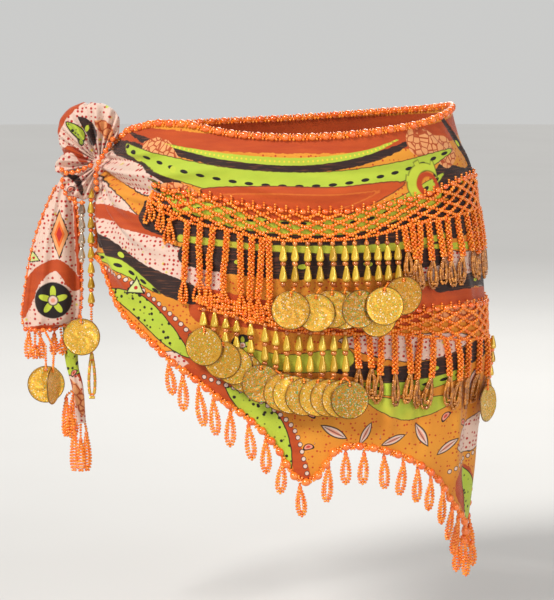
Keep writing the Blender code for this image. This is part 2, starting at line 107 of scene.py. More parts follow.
# reach of each fringe: it hangs from its net's lower edge, from start to end, down to foot; lift is its
# distance from the cloth at the top and at the foot
FRINGES = (
    # name, net, start, end, ((t, foot), ...), lift_top, lift_foot
    ("fringe_upper_left", NET_UPPER, -0.285, -0.042,
     ((-0.285, -77), (-0.258, -88), (-0.222, -98), (-0.214, -148), (-0.150, -149), (-0.097, -161), (-0.038, -165)), 1.0, 5.2),
    ("drops_upper", NET_UPPER, -0.030, 0.213, ((-0.03, -128), (0.055, -130), (0.12, -128), (0.213, -123)), 1.0, 5.2),
    ("fringe_upper_right", NET_UPPER, 0.2155, 0.4995, ((0.2155, -110), (0.228, -136), (0.32, -135), (0.40, -132), (0.5, -132)), 1.0, 4.0),
    ("fringe_upper_back", NET_UPPER, 0.5005, 1.265, ((0.5, -132), (0.75, -132), (1.0, -137), (1.2, -124), (1.27, -96)), 1.0, 4.0),
    ("drops_lower", NET_LOWER, -0.176, 0.113, ((-0.176, -166), (-0.14, -167), (-0.099, -184), (-0.047, -197), (-0.007, -208), (0.113, -208)), 1.0, 2.0),
    ("fringe_lower_right", NET_LOWER, 0.1155, 0.4995, ((0.1155, -232), (0.185, -238), (0.25, -243), (0.35, -247), (0.42, -248), (0.5, -248)), 1.0, 4.0),
    ("fringe_lower_back", NET_LOWER, 0.5005, 1.095, ((0.5, -248), (0.75, -238), (1.0, -224), (1.10, -214)), 1.0, 4.0),
)
FOLDS = (   # gathers that run from the knot, and soft swags of the panel
    # t0, z0, t1, z1, width, height
    (-0.485, -24, -0.31, -14, 8.0, 4.2),
    (-0.485, -28, -0.27, -40, 8.0, 5.0),
    (-0.480, -34, -0.30, -78, 8.0, 4.5),
    (-0.485, -42, -0.37, -112, 8.0, 4.0),
    (-0.497, -48, -0.455, -112, 7.0, 2.2),
    (-0.22, -22, 0.30, -24, 12.0, 1.8),
    (0.36, 2, 0.46, -36, 10.0, 1.8),
    (0.30, -190, 0.36, -318, 13.0, 2.6),
    (0.10, -196, 0.14, -270, 12.0, 2.0),
    (0.415, -190, 0.445, -362, 9.0, 3.2),
    (-0.06, -196, 0.01, -296, 12.0, 2.2),
    (-0.30, -100, -0.18, -190, 11.0, 1.8),
    (1.485, -24, 1.31, -22, 8.0, 4.2),
    (1.485, -32, 1.28, -62, 8.0, 4.6),
    (1.490, -42, 1.37, -112, 8.0, 4.0),
    (0.62, -20, 0.70, -225, 14.0, 2.2),
    (0.84, -20, 0.88, -220, 15.0, 2.0),
    (1.10, -22, 1.04, -205, 14.0, 2.2),
)
KNOT = (   # cloth balled up in the bow; centre, half sizes, how deep its creases are
    # name, x, y, z, rx, ry, rz, creases, depth, phase
    ("knot_core", -182.5, -4, -34, 7.0, 10, 13.5, 5, 0.06, 0.3),
    ("knot_lobe_top", -183, 6, 6, 25, 19, 23.5, 4, 0.07, 0.0),
    ("knot_lobe_front", -166, -27, 20, 10, 9, 10, 3, 0.05, 1.2),
    ("knot_lobe_side", -197, -23, -25.5, 14.5, 11, 9, 3, 0.08, 2.0),
    ("knot_loop_low", -195.5, -25, -49, 11, 8, 12, 2, 0.05, 0.4),
)
TAIL = (   # the wide end that hangs beside the hip
    # z, x_left, x_right, y_back, bulge
    (-44, -209, -199, -2, 2),
    (-56, -216, -198, -2, 5),
    (-74, -224, -195, -3, 9),
    (-96, -232, -193, -4, 13),
    (-120, -238, -191, -5, 15),
    (-145, -242, -191, -6, 16),
    (-170, -245, -193, -6, 16),
    (-181, -243, -213, -6, 13),
)
TAIL_NARROW = (   # the other end, rolled and twisted as it hangs
    # z, x, y, rx, ry, turn
    (-128, -203, 7, 4.0, 3.0, 0.0),
    (-160, -204, 5, 6.0, 4.0, 0.3),
    (-185, -203, 0, 7.5, 4.5, 0.7),
    (-207, -201, -7, 7.0, 4.5, 1.1),
    (-232, -196, -12, 8.0, 5.0, 1.6),
    (-256, -193, -15, 7.0, 4.5, 2.1),
    (-268, -192, -15, 5.0, 3.5, 2.4),
)
STRANDS = (   # strung drops that hang from the knot
    # name, x_top, z_top, x_foot, z_foot, y_top, y_foot
    ("strand_silver", -188.5, -64, -189.5, -123, -27, -26),
    ("strand_gold", -180.5, -50, -181.0, -168, -25, -25),
    ("strand_orange", -176.6, -52, -176.8, -107, -13, -14),
    ("strand_loop", -181.0, -202, -180.5, -243, -25, -25),
)
COINS = (   # hung flat coins, the rearmost first: each lies on the cloth and on those before it
    # name, x, z, turn_deg, tip_deg, clear of the hip
    ("coin_upper_4", 47, -151, -4, 3, 11.0),
    ("coin_upper_3", 36, -150, -6, -3, 11.0),
    ("coin_upper_2", 22, -153, -6, 0, 11.0),
    ("coin_upper_1", 0, -151, -5, 2, 11.0),
    ("coin_upper_7", 76, -158, 14, 0, 11.0),
    ("coin_upper_5", 60, -149, 24, 0, 11.0),
    ("coin_upper_8", 99, -139, 16, 0, 11.0),
    ("coin_upper_6", 82, -147, 12, 4, 11.0),
    ("coin_lower_4", -40, -208, -14, 0, 8.0),
    ("coin_lower_3", -50, -201, -14, 0, 8.0),
    ("coin_lower_2", -60, -196, -14, 0, 8.0),
    ("coin_lower_1", -76, -185, -16, 0, 8.0),
    ("coin_lower_5", -26, -216, 6, 0, 7.5),
    ("coin_lower_6", -7, -224, 8, 0, 7.5),
    ("coin_lower_7", 1, -226, 8, 0, 7.5),
    ("coin_lower_8", 12, -228, 8, 0, 7.5),
    ("coin_lower_9", 24, -228.5, 8, 0, 7.5),
    ("coin_lower_10", 34, -229, 8, 0, 7.5),
    ("coin_lower_11", 44, -230, 10, 0, 7.5),
    ("coin_lower_12", 52, -231, 12, 0, 7.5),
)
FREE_COINS = (   # coins that hang clear of the panel, by their centre and the way they face
    # name, x, y, z, turn_deg
    ("coin_side", 179.5, -40, -246, 60),
    ("coin_tail_1", -189.5, -34, -186, 0),
    ("coin_tail_2", -223.0, -24, -231, 8),
    ("coin_tail_3", -214.5, -46, -229, 74),
)
TASSELS = (   # reach of the seed-bead loops that hang from the ends
    # name, x, y, z_top, z_foot, rx, ry
    ("tassel_tail_wide", -233.5, -14, -183, -211, 6.5, 3.0),
    ("tassel_tail_mid", -212.5, -12, -184, -208, 4.0, 3.0),
    ("tassel_narrow_1", -204.5, -14, -243, -284, 5.5, 3.5),
    ("tassel_narrow_2", -192.5, -15, -270, -316, 6.5, 3.5),
)

# ------------------------------------------------------------------ the form, on arrays, in millimetres
class Line:
    """Smooth monotone curve through one column of a table."""
    def __init__(self, table, col=1):
        self.x = np.array([r[0] for r in table], float)
        self.y = np.array([r[col] for r in table], float)
        d = np.diff(self.y) / np.diff(self.x)
        s = np.zeros(len(self.x))
        s[0], s[-1] = d[0], d[-1]
        a, b = d[:-1], d[1:]
        both = a + b
        s[1:-1] = np.where(a * b > 0, 2 * a * b / np.where(both == 0, 1, both), 0)
        self.s = s

    def __call__(self, x):
        x = np.clip(np.asarray(x, float), self.x[0], self.x[-1])
        i = np.clip(np.searchsorted(self.x, x, "right") - 1, 0, len(self.x) - 2)
        h = self.x[i + 1] - self.x[i]
        u = (x - self.x[i]) / h
        return (self.y[i] * (1 + 2 * u) * (1 - u) ** 2 + self.s[i] * h * u * (1 - u) ** 2
                + self.y[i + 1] * u * u * (3 - 2 * u) + self.s[i + 1] * h * u * u * (u - 1))


WIDTH_AT, FRONT_AT, BACK_AT = Line(FORM, 1), Line(FORM, 2), Line(FORM, 3)
TOP, HEM_LINE = Line(TOP_EDGE), Line(HEM)


def quarter(depth):
    ph = np.linspace(0, math.pi / 2, 401)
    x, y = 174.0 * np.sin(ph) ** (2 / ROUND), depth * np.maximum(np.cos(ph), 0) ** (2 / ROUND)
    y[-1] = 0
    run = np.concatenate([[0], np.cumsum(np.hypot(np.diff(x), np.diff(y)))])
    return run / run[-1] * 0.5, ph


FRONT_ARC, BACK_ARC = quarter(105.0), quarter(127.0)


def place(t, z, off=0.0):
    t, z, off = np.broadcast_arrays(np.asarray(t, float), np.asarray(z, float), np.asarray(off, float))
    t = np.where(t > 1, t - 2, t)
    s = np.abs(t)
    front = s <= 0.5
    ph = np.where(front, np.interp(s, *FRONT_ARC), np.interp(1 - s, *BACK_ARC))
    d = np.where(front, -(FRONT_AT(z) + off), BACK_AT(z) + off)
    x = np.where(t < 0, -1, 1) * (WIDTH_AT(z) + off) * np.maximum(0, np.sin(ph)) ** (2 / ROUND)
    return np.stack([x, d * np.maximum(0, np.cos(ph)) ** (2 / ROUND), z], -1)


def relief(t, z):
    total = np.zeros(np.broadcast(t, z).shape)
    for t0, z0, t1, z1, width, height in FOLDS:
        ax, ay = (t - t0) * GIRTH_HALF, z - z0
        bx, by = (t1 - t0) * GIRTH_HALF, z1 - z0
        length = math.hypot(bx, by)
        u = (ax * bx + ay * by) / length ** 2
        d = np.abs(ax * by - ay * bx) / length
        along = np.clip((u + 0.15) / 0.25, 0, 1) * np.clip((1.25 - u) / 0.6, 0, 1)
        total = np.maximum(total, height * along * np.exp(-(d / width) ** 2))
    for knot_t in (LEFT, TIE):
        total = total + 8.5 * np.exp(-((t - knot_t) ** 2 * GIRTH_HALF ** 2 + ((z + 30) * 0.9) ** 2) / 24.0 ** 2)
    return total


CREASES = (   # finer soft ridges and troughs of the panel, uneven in length, depth and spacing
    # t0, z0, t1, z1, sag, width, height
    (-0.49, -20, -0.20, -6, -5, 3.6, 0.9),
    (-0.49, -26, -0.12, -26, -8, 4.6, 1.3),
    (-0.49, -31, -0.20, -52, -7, 3.8, -0.9),
    (-0.49, -33, -0.10, -66, -9, 4.4, 1.0),
    (-0.48, -38, -0.24, -104, -8, 4.8, 1.4),
    (-0.48, -40, -0.33, -92, -5, 3.2, -0.9),
    (-0.48, -44, -0.30, -146, -8, 5.0, 1.3),
    (-0.48, -50, -0.40, -128, -4, 3.4, 1.0),
    (-0.16, -10, 0.14, -13, -5, 5.0, 0.8),
    (-0.10, -42, 0.18, -42, -9, 5.5, 1.1),
    (0.02, -30, 0.34, -20, -7, 5.0, -0.8),
    (0.20, -52, 0.44, -34, -6, 5.0, 0.9),
    (0.30, 2, 0.42, -28, -3, 4.6, 1.0),
    (0.40, 8, 0.47, -60, 2, 4.2, 1.2),
    (-0.18, -92, -0.02, -150, -6, 5.5, 1.0),
    (0.06, -98, 0.16, -160, 3, 6.5, 0.9),
    (0.24, -96, 0.30, -166, 3, 5.5, -0.8),
    (0.34, -90, 0.40, -200, 3, 6.5, 1.3),
    (-0.14, -168, -0.05, -236, -5, 6.0, 1.2),
    (-0.02, -200, 0.03, -290, -3, 5.0, -1.0),
    (0.06, -188, 0.09, -272, 2, 5.5, 1.1),
    (0.17, -196, 0.20, -272, 2, 6.5, 1.3),
    (0.24, -186, 0.27, -288, 2, 5.0, -1.0),
    (0.33, -196, 0.37, -326, 2, 6.0, 1.6),
    (0.385, -190, 0.41, -346, 2, 4.6, -1.0),
    (0.43, -180, 0.455, -366, 2, 5.0, 1.4),
    (1.49, -22, 1.22, -14, -5, 4.4, 1.2),
    (1.49, -28, 1.10, -40, -10, 5.0, 1.4),
    (1.48, -34, 1.20, -84, -9, 4.4, -1.0),
    (1.48, -40, 1.26, -134, -9, 5.2, 1.5),
    (1.02, -14, 0.70, -10, -8, 6.0, 1.0),
    (0.98, -54, 0.72, -34, -10, 6.5, 1.2),
    (0.60, -80, 0.64, -228, 3, 7.0, 1.5),
    (0.76, -70, 0.79, -226, -3, 6.0, 1.2),
    (0.92, -66, 0.94, -216, 3, 7.0, -1.1),
    (1.06, -74, 1.10, -200, 4, 6.0, 1.4),
    (1.18, -70, 1.16, -180, -3, 5.0, 1.0),
)


def crease(t, z):
    total = np.zeros(np.broadcast(t, z).shape)
    px, pz = t * GIRTH_HALF, z
    for t0, z0, t1, z1, sag, width, height in CREASES:
        best = np.full(total.shape, 1e9)
        share = np.zeros(total.shape)
        k = np.linspace(0, 1, 11)
        xs, zs = (t0 + (t1 - t0) * k) * GIRTH_HALF, z0 + (z1 - z0) * k + sag * 4 * k * (1 - k)
        for i in range(10):
            bx, by = xs[i + 1] - xs[i], zs[i + 1] - zs[i]
            u = np.clip(((px - xs[i]) * bx + (pz - zs[i]) * by) / (bx * bx + by * by), 0, 1)
            d = np.hypot(px - xs[i] - u * bx, pz - zs[i] - u * by)
            near = d < best
            best = np.where(near, d, best)
            share = np.where(near, (i + u) / 10, share)
        w = width * (0.62 + 0.6 * share)
        total += (2.0 if t0 > 0.29 and z0 < -80 else 3.3 if z0 < -80 else 3.4 if t0 < -0.47 else 2.3) * height * np.sin(np.clip(share * 0.9 + 0.1, 0, 1) * math.pi) ** 0.6 * np.exp(-(best / w) ** 2)
    return total


def pleats(t, z):
    """Gathers that fan out from the knot, uneven in length and depth."""
    total = np.zeros(np.broadcast(t, z).shape)
    for knot_t, way in ((LEFT, 1), (TIE, -1)):
        dx, dz = (t - knot_t) * way * GIRTH_HALF, z + 30
        r, a = np.hypot(dx, dz), np.arctan2(dz, dx)
        for at, width, reach, height in ((0.52, 0.10, 46, 1.6), (0.30, 0.07, 70, 1.5), (0.10, 0.08, 62, -1.2), (-0.08, 0.07, 95, 1.9),
                                         (-0.27, 0.08, 80, -1.4), (-0.45, 0.07, 110, 2.0), (-0.66, 0.09, 72, 1.5), (-0.86, 0.08, 96, -1.3),
                                         (-1.06, 0.09, 88, 1.8), (-1.28, 0.08, 66, 1.3)):
            total += height * np.exp(-((a - at) / width) ** 2) * np.clip(r / 9, 0, 1) * np.exp(-(r / reach) ** 2)
    return total


def skin(t, z):
    """Middle of the cloth, millimetres outside the hip."""
    ripple = 1.3 * np.sin(t * GIRTH_HALF / 6.5 + 2.0 * np.sin(t * 9.0)) * np.exp(-np.maximum(0, z - HEM_LINE(t)) / 16.0)
    return relief(t, z) + 1.6 + crease(t, z) + pleats(t, z) + ripple


# ------------------------------------------------------------------ meshes
def mesh_of(name, v, quads=None, tris=None, mats=None, smooth=True):
    quads = np.zeros((0, 4), int) if quads is None else np.asarray(quads)
    tris = np.zeros((0, 3), int) if tris is None else np.asarray(tris)
    mesh = bpy.data.meshes.new(name)
    mesh.vertices.add(len(v))
    mesh.vertices.foreach_set("co", np.ascontiguousarray(v * MM, dtype=np.float32).ravel())
    mesh.loops.add(quads.size + tris.size)
    mesh.loops.foreach_set("vertex_index", np.concatenate([quads.ravel(), tris.ravel()]).astype(np.int32))
    mesh.polygons.add(len(quads) + len(tris))
    start = np.concatenate([np.arange(len(quads)) * 4, quads.size + np.arange(len(tris)) * 3])
    mesh.polygons.foreach_set("loop_start", start.astype(np.int32))
    if mats is not None:
        mesh.polygons.foreach_set("material_index", mats.astype(np.int32))
    mesh.update(calc_edges=True)
    mesh.validate()
    if smooth:
        mesh.shade_smooth()
    return mesh


def piece(name, mesh, materials, nodes):
    ob = bpy.data.objects.new(name, mesh)
    bpy.context.scene.collection.objects.link(ob)
    for m in materials:
        mesh.materials.append(m)
    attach(ob, "root")
    if nodes:
        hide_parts(*nodes)
    return ob


def lathe(profile, segs):
    """Closed template turned about z from (radius, z) pairs that start and end on the axis."""
    verts = [(0, 0, profile[0][1])]
    for r, z in profile[1:-1]:
        for k in range(segs):
            a = 2 * math.pi * k / segs
            verts.append((r * math.cos(a), r * math.sin(a), z))
    verts.append((0, 0, profile[-1][1]))
    n = len(profile) - 2
    quads, tris = [], []
    for j in range(n - 1):
        for k in range(segs):
            a, b = 1 + j * segs + k, 1 + j * segs + (k + 1) % segs
            quads.append((a, b, b + segs, a + segs))
    last = len(verts) - 1
    for k in range(segs):
        tris.append((0, 1 + (k + 1) % segs, 1 + k))
        tris.append((last, 1 + (n - 1) * segs + k, 1 + (n - 1) * segs + (k + 1) % segs))
    return np.array(verts, float), np.array(quads, int).reshape(-1, 4), np.array(tris, int)


def ball(segs, rings, flat=1.0):
    return lathe([(math.sin(math.pi * k / rings), -flat * math.cos(math.pi * k / rings)) for k in range(rings + 1)], segs)


SEED = ball(6, 4, 0.82)          # a rocaille, a little shorter than wide
PEARL = ball(12, 7)
DROP = lathe([(0, -1.0), (0.52, -0.99), (0.74, -0.92), (0.84, -0.74), (0.84, -0.52), (0.76, -0.18), (0.62, 0.22), (0.46, 0.60), (0.36, 0.88), (0.28, 0.97), (0, 1.0)], 16)
BUGLE = lathe([(0, -1.0), (0.9, -0.97), (1.0, -0.85), (1.0, 0.85), (0.9, 0.97), (0, 1.0)], 7)
PLAIN_SEED = lathe([(0, -0.82), (0.92, -0.44), (0.92, 0.44), (0, 0.82)], 6)      # for the strings behind


class Heap:
    """Many small solids joined in one mesh."""
    def __init__(self, name=""):
        self.behind = "back" in name
        self.v, self.q, self.t, self.mq, self.mt, self.tone, self.n = [], [], [], [], [], [], 0

    def put(self, shape, at, axis=(0, 0, 1), size=1.0, mat=0):
        verts, quads, tris = PLAIN_SEED if self.behind and shape is SEED else shape
        at = np.atleast_2d(np.asarray(at, float))
        m = len(at)
        if m == 0:
            return
        axis = np.broadcast_to(np.asarray(axis, float), (m, 3))
        axis = axis / np.maximum(np.linalg.norm(axis, axis=1, keepdims=True), 1e-9)
        ref = np.where(np.abs(axis[:, 1:2]) < 0.9, [[0.0, 1.0, 0.0]], [[1.0, 0.0, 0.0]])
        x = np.cross(ref, axis)
        x /= np.linalg.norm(x, axis=1, keepdims=True)
        y = np.cross(axis, x)
        size = np.asarray(size, float)
        size = np.broadcast_to(size.reshape(-1, 1) if size.ndim == 1 and len(size) == m and m != 3 else size, (m, 3))
        p = verts[None] * size[:, None, :]
        w = p[..., 0:1] * x[:, None] + p[..., 1:2] * y[:, None] + p[..., 2:3] * axis[:, None] + at[:, None]
        base = self.n + np.arange(m)[:, None, None] * len(verts)
        self.v.append(w.reshape(-1, 3))
        self.q.append((quads[None] + base).reshape(-1, 4))
        self.t.append((tris[None] + base).reshape(-1, 3))
        self.mq.append(np.full(m * len(quads), mat))
        self.mt.append(np.full(m * len(tris), mat))
        self.tone.append(np.repeat(rng.random(m), len(verts)))
        self.n += m * len(verts)

    def make(self, name, materials, nodes, slot):
        mesh = mesh_of(name, np.concatenate(self.v), np.concatenate(self.q), np.concatenate(self.t),
                       np.concatenate(self.mq + self.mt))
        tone = mesh.attributes.new("tone", "FLOAT", "POINT")
        tone.data.foreach_set("value", np.concatenate(self.tone).astype(np.float32))
        return piece(name, mesh, materials, nodes)


def resample(path, pitch):
    """Even points and directions along a path, about a pitch apart."""
    path = np.asarray(path, float)
    run = np.concatenate([[0], np.cumsum(np.linalg.norm(np.diff(path, axis=0), axis=1))])
    n = max(2, int(round(run[-1] / pitch)))
    s = (np.arange(n) + 0.5) / n * run[-1]
    at = np.stack([np.interp(s, run, path[:, k]) for k in range(3)], -1)
    fore = np.stack([np.interp(np.minimum(s + 0.5, run[-1]), run, path[:, k]) for k in range(3)], -1)
    back = np.stack([np.interp(np.maximum(s - 0.5, 0), run, path[:, k]) for k in range(3)], -1)
    return at, fore - back


def string(heap, path, radius=1.3, mat=0, pitch=None):
    at, d = resample(path, pitch or radius * 1.7)
    heap.put(SEED, at, d, np.stack([radius * (0.92 + 0.16 * rng.random(len(at)))] * 3, -1), mat)


def twist(heap, path, radius=1.05, coil=1.15, turn=9.0, mat=0, strands=2):
    """Strings of seed beads twisted about each other."""
    path = np.asarray(path, float)
    at, d = resample(path, 1.2)
    d = d / np.linalg.norm(d, axis=1, keepdims=True)
    out = np.cross(d, [0, 1, 0])
    out /= np.linalg.norm(out, axis=1, keepdims=True)
    side = np.cross(d, out)
    s = np.arange(len(at)) * 1.2
    for k in range(strands):
        a = (2 * math.pi * (s / turn + k / strands))[:, None]
        string(heap, at + coil * (np.cos(a) * out + np.sin(a) * side), radius, mat)


def loop_path(top, half, height, lean=0.0, n=30):
    """A hanging teardrop loop in the plane of the cloth."""
    a = np.linspace(0, 2 * math.pi, n + 1)
    x = half * np.sin(a) * (0.5 - 0.5 * np.cos(a)) ** 0.45
    z = -height * (0.5 - 0.5 * np.cos(a))
    return x + lean * z / -height, z


def on_cloth(s, z, lift):
    """Point over the cloth: s millimetres round the girth from the centre front."""
    t = np.asarray(s, float) / GIRTH_HALF
    return place(t, z, skin(t, z) + lift)

# ------------------------------------------------------------------ the print, composed in the cloth's own millimetres
WHITE_Z, RUST_Z, BROWN_Z, GREEN_Z, CRACKLE_Z, BLOTCH_Z, OVALS_Z, DOTS_Z, BEADING_Z = range(9)
RIBBONS = (   # painted zones of the panel: swept ribbons, blunt (0) or pointed (1)
    # zone, half_width, pointed, s0, z0, s1, z1, ...
    (WHITE_Z, 24, 0, -224, -54, -180, -76, -120, -112, -80, -124),
    (WHITE_Z, 13, 1, -224, -26, -180, -28, -120, -46, -84, -62),
    (WHITE_Z, 15, 0, 112, -112, 165, -120, 224, -126),
    (WHITE_Z, 12, 1, 40, -180, 100, -188, 168, -184),
    (WHITE_Z, 15, 1, -120, -196, -92, -208, -60, -232),
    (WHITE_Z, 16, 1, 158, -284, 192, -272, 224, -262),
    (RUST_Z, 8, 0, -205, -2, -120, -4, 0, -8, 110, -4, 224, 8),
    (RUST_Z, 8, 1, -224, -70, -160, -74, -90, -92),
    (RUST_Z, 9, 1, 96, -78, 150, -72, 224, -72),
    (RUST_Z, 11, 0, -196, -124, -150, -140, -100, -172, -70, -206, -58, -240),
    (RUST_Z, 15, 0, -70, -150, 20, -160, 110, -152),
    (RUST_Z, 6.5, 0, -84, -208, -40, -228, -6, -256, 14, -310),
    (RUST_Z, 8, 0, 120, -142, 170, -146, 224, -152),
    (RUST_Z, 14, 0, 178, -318, 198, -350, 206, -390),
    (BROWN_Z, 5.5, 1, -186, 2, -120, -12, -40, -24, 30, -26, 96, -14, 140, 4),
    (BROWN_Z, 8, 1, -212, -10, -150, -18, -112, -36, -86, -66),
    (BROWN_Z, 8, 0, -224, -88, -178, -100, -126, -124, -84, -140),
    (BROWN_Z, 15, 0, -120, -70, -60, -84, 60, -86, 150, -76, 224, -66),
    (BROWN_Z, 12, 0, -86, -104, 0, -112, 70, -112, 128, -104),
    (BROWN_Z, 14, 0, 150, -42, 186, -44, 224, -40),
    (BROWN_Z, 4, 0, 168, 14, 182, -8, 196, -30),
    (BROWN_Z, 6, 0, 132, -134, 180, -132, 224, -142),
    (BROWN_Z, 9, 0, 34, -198, 84, -212, 140, -206, 190, -192),
    (GREEN_Z, 4.0, 1, -130, -38, -88, -58, -20, -75, 26, -70, 62, -77, 110, -66, 142, -44),
    (GREEN_Z, 3, 0, -96, -90, -10, -98, 80, -98, 140, -90),
    (GREEN_Z, 9, 1, 62, -232, 104, -244, 150, -236),
    (GREEN_Z, 8, 0, -60, -190, 0, -200, 44, -196),
    (CRACKLE_Z, 13, 0, 128, -6, 156, -16),
    (CRACKLE_Z, 10, 1, -150, -8, -128, -14, -104, -26),
    (CRACKLE_Z, 7, 1, -120, -44, -96, -50, -72, -66),
    (CRACKLE_Z, 10, 1, 120, -162, 170, -160, 224, -172),
    (BLOTCH_Z, 10, 1, -166, -140, -130, -154, -84, -196),
    (BLOTCH_Z, 12, 1, -54, -222, -22, -252, 0, -296),
    (BLOTCH_Z, 8, 1, 176, -304, 192, -330, 192, -364),
    (OVALS_Z, 12, 1, -176, -10, -112, -28, -40, -41, 30, -43, 96, -33, 168, -14),
    (OVALS_Z, 10.0, 1, -128, -46, -64, -68, 8, -76, 74, -71, 150, -34),
    (OVALS_Z, 4.6, 1, -208, -112, -160, -116, -110, -140),
    (OVALS_Z, 5.0, 0, 52, -222, 104, -224, 160, -212),
    (DOTS_Z, 3.4, 1, -126, -8, -60, -18, 10, -22, 70, -15, 112, -2),
    (DOTS_Z, 3.2, 1, 110, -98, 160, -100, 224, -104),
    (BEADING_Z, 2.8, 0, -188, -120, -140, -132, -92, -166, -60, -212),
    (BEADING_Z, 2.8, 0, -76, -212, -32, -230, 2, -258, 16, -304),
    (BEADING_Z, 2.6, 0, 150, -306, 180, -296, 220, -286),
)
CARTOUCHE_RIBBONS = ((-80, -48, -24, -57, 36, -58, 104, -42), (326, -42, 400, -54, 480, -54, 560, -40))
PAISLEY, LEAF, BEAN, TRIANGLE, DROPLET, RHOMB, ROSETTE, SCROLL = range(1, 9)
FIGURES = (   # single figures of the panel
    # kind, s, z, half_length, angle
    (SCROLL, 128, -44, 24, 35), (SCROLL, -96, -58, 12, 200), 
    (PAISLEY, -96, -222, 21, -35), (PAISLEY, -30, -212, 15, 20),
    (LEAF, 38, -262, 13, -28), (LEAF, 66, -264, 11, 66), (LEAF, 92, -271, 12, 20), (LEAF, 120, -268, 13, -58),
    (LEAF, 147, -281, 12, 34), (LEAF, 176, -222, 13, 70), (LEAF, 200, -212, 11, -60),
    (BEAN, 16, -276, 6.5, 14), (BEAN, 17, -246, 7, -30), (BEAN, 141, -253, 7, 50), (BEAN, 167, -262, 7, -20),
    (BEAN, 192, -240, 7, 30), (BEAN, 30, -222, 6, 20), (BEAN, -140, -206, 7, 40),
    (TRIANGLE, -136, -136, 10, 0), (TRIANGLE, -178, -136, 9, 14), (TRIANGLE, 206, -60, 8, -20),
    (DROPLET, -150, -22, 5, -15), (DROPLET, -108, -30, 5, -35), (DROPLET, -200, -92, 5, -10), (DROPLET, -156, -108, 5, -25),
    (DROPLET, 170, -42, 5, 0), (DROPLET, 200, -42, 5, 10), (DROPLET, -44, -110, 5, 0), (DROPLET, 10, -114, 5, 5),
    (DROPLET, 66, -112, 5, -5), (DROPLET, 178, -132, 4, 0), (DROPLET, 70, -209, 5, -10), (DROPLET, 124, -208, 5, 8),
    (DROPLET, 182, -10, 4, -60), (ROSETTE, 208, -92, 14, 0), (RHOMB, -206, -150, 12, 90), (ROSETTE, -40, -184, 10, 0),
)
BACK_RIBBONS = (   # the same cloth as it goes on round the back, s past 222
    (RUST_Z, 9, 0, 214, 8, 300, 4, 445, -4, 560, -6, 640, -10),
    (RUST_Z, 9, 0, 214, -152, 320, -150, 420, -150, 500, -170),
    (RUST_Z, 11, 0, 640, -104, 590, -134, 540, -170, 470, -200),
    (RUST_Z, 9, 1, 669, -70, 610, -74, 540, -92),
    (WHITE_Z, 15, 0, 214, -126, 300, -128, 380, -114, 450, -126),
    (WHITE_Z, 24, 0, 669, -54, 625, -78, 570, -108, 520, -118),
    (WHITE_Z, 12, 1, 380, -166, 440, -158, 500, -160),
    (WHITE_Z, 13, 1, 669, -26, 625, -28, 566, -46),
    (BROWN_Z, 14, 0, 214, -40, 262, -46, 330, -36),
    (BROWN_Z, 5, 1, 250, 0, 340, -10, 440, -18, 560, -8, 640, 4),
    (BROWN_Z, 15, 0, 214, -66, 300, -74, 400, -88, 500, -86, 600, -72),
    (BROWN_Z, 8, 0, 669, -88, 620, -100, 560, -128, 500, -150),
    (BROWN_Z, 6, 0, 214, -142, 300, -140, 370, -134),
    (BROWN_Z, 8, 0, 300, -192, 380, -182, 460, -188),
    (GREEN_Z, 4, 1, 250, -70, 360, -90, 500, -92, 600, -74),
    (GREEN_Z, 8, 1, 300, -222, 380, -206, 440, -214),
    (CRACKLE_Z, 11, 1, 590, -24, 622, -20, 650, -30),
    (CRACKLE_Z, 9, 1, 214, -172, 290, -170, 350, -182),
    (CRACKLE_Z, 10, 1, 252, -12, 280, -20, 300, -34),
    (BLOTCH_Z, 11, 1, 604, -132, 560, -158, 500, -188),
    (BLOTCH_Z, 11, 1, 236, -222, 300, -208, 360, -212),
    (OVALS_Z, 11, 1, 268, -14, 340, -26, 430, -36, 520, -30, 610, -16),
    (OVALS_Z, 9, 1, 300, -56, 400, -73, 500, -73, 590, -52),
    (DOTS_Z, 3.2, 1, 214, -104, 300, -106, 380, -98),
    (BEADING_Z, 2.8, 0, 636, -106, 580, -138, 530, -172, 460, -202),
    (BEADING_Z, 2.6, 0, 216, -286, 222, -240, 250, -206),
)
KNOT_RIBBONS = (
    (WHITE_Z, 90, 0, -190, 40, -190, -90),
    (RUST_Z, 4.5, 0, -212, 0, -204, 16, -190, 28, -174, 30),
    (RUST_Z, 3, 0, -212, -22, -198, -16, -186, -26),
    (BROWN_Z, 5, 1, -192, 14, -180, 2, -178, -14),
    (BROWN_Z, 3, 1, -204, -38, -192, -44, -188, -58),
    (CRACKLE_Z, 6, 1, -176, 10, -166, 2, -164, -8),
    (BLOTCH_Z, 4, 1, -202, 8, -190, -2, -188, -12),
)
BACK_FIGURES = (
    (LEAF, 300, -234, 15, 18), (LEAF, 352, -196, 13, -40), (LEAF, 402, -218, 15, 70), (LEAF, 250, -196, 13, 60), (LEAF, 446, -208, 12, 10),
    (PAISLEY, 470, -118, 14, 15), (PAISLEY, 420, -196, 10, -30), (PAISLEY, 620, -64, 14, 200), (BEAN, 330, -236, 7, 30),
    (BEAN, 374, -222, 6, -30), (BEAN, 280, -186, 6, 10), (BEAN, 470, -178, 7, 50), (DROPLET, 250, -44, 5, 0), (DROPLET, 304, -42, 5, 5),
    (DROPLET, 350, -82, 5, 0), (DROPLET, 452, -90, 5, 5), (DROPLET, 560, -126, 5, 25), (DROPLET, 340, -137, 4, 0), (DROPLET, 340, -188, 4, 0),
    (DROPLET, 612, -102, 5, 15), (TRIANGLE, 300, -158, 8, 0), (TRIANGLE, 560, -106, 9, 10), (ROSETTE, 520, -120, 13, 0),
    (SCROLL, 612, -44, 17, 160), (SCROLL, 300, -34, 12, 20), (SCROLL, 440, -54, 9, 90),
)
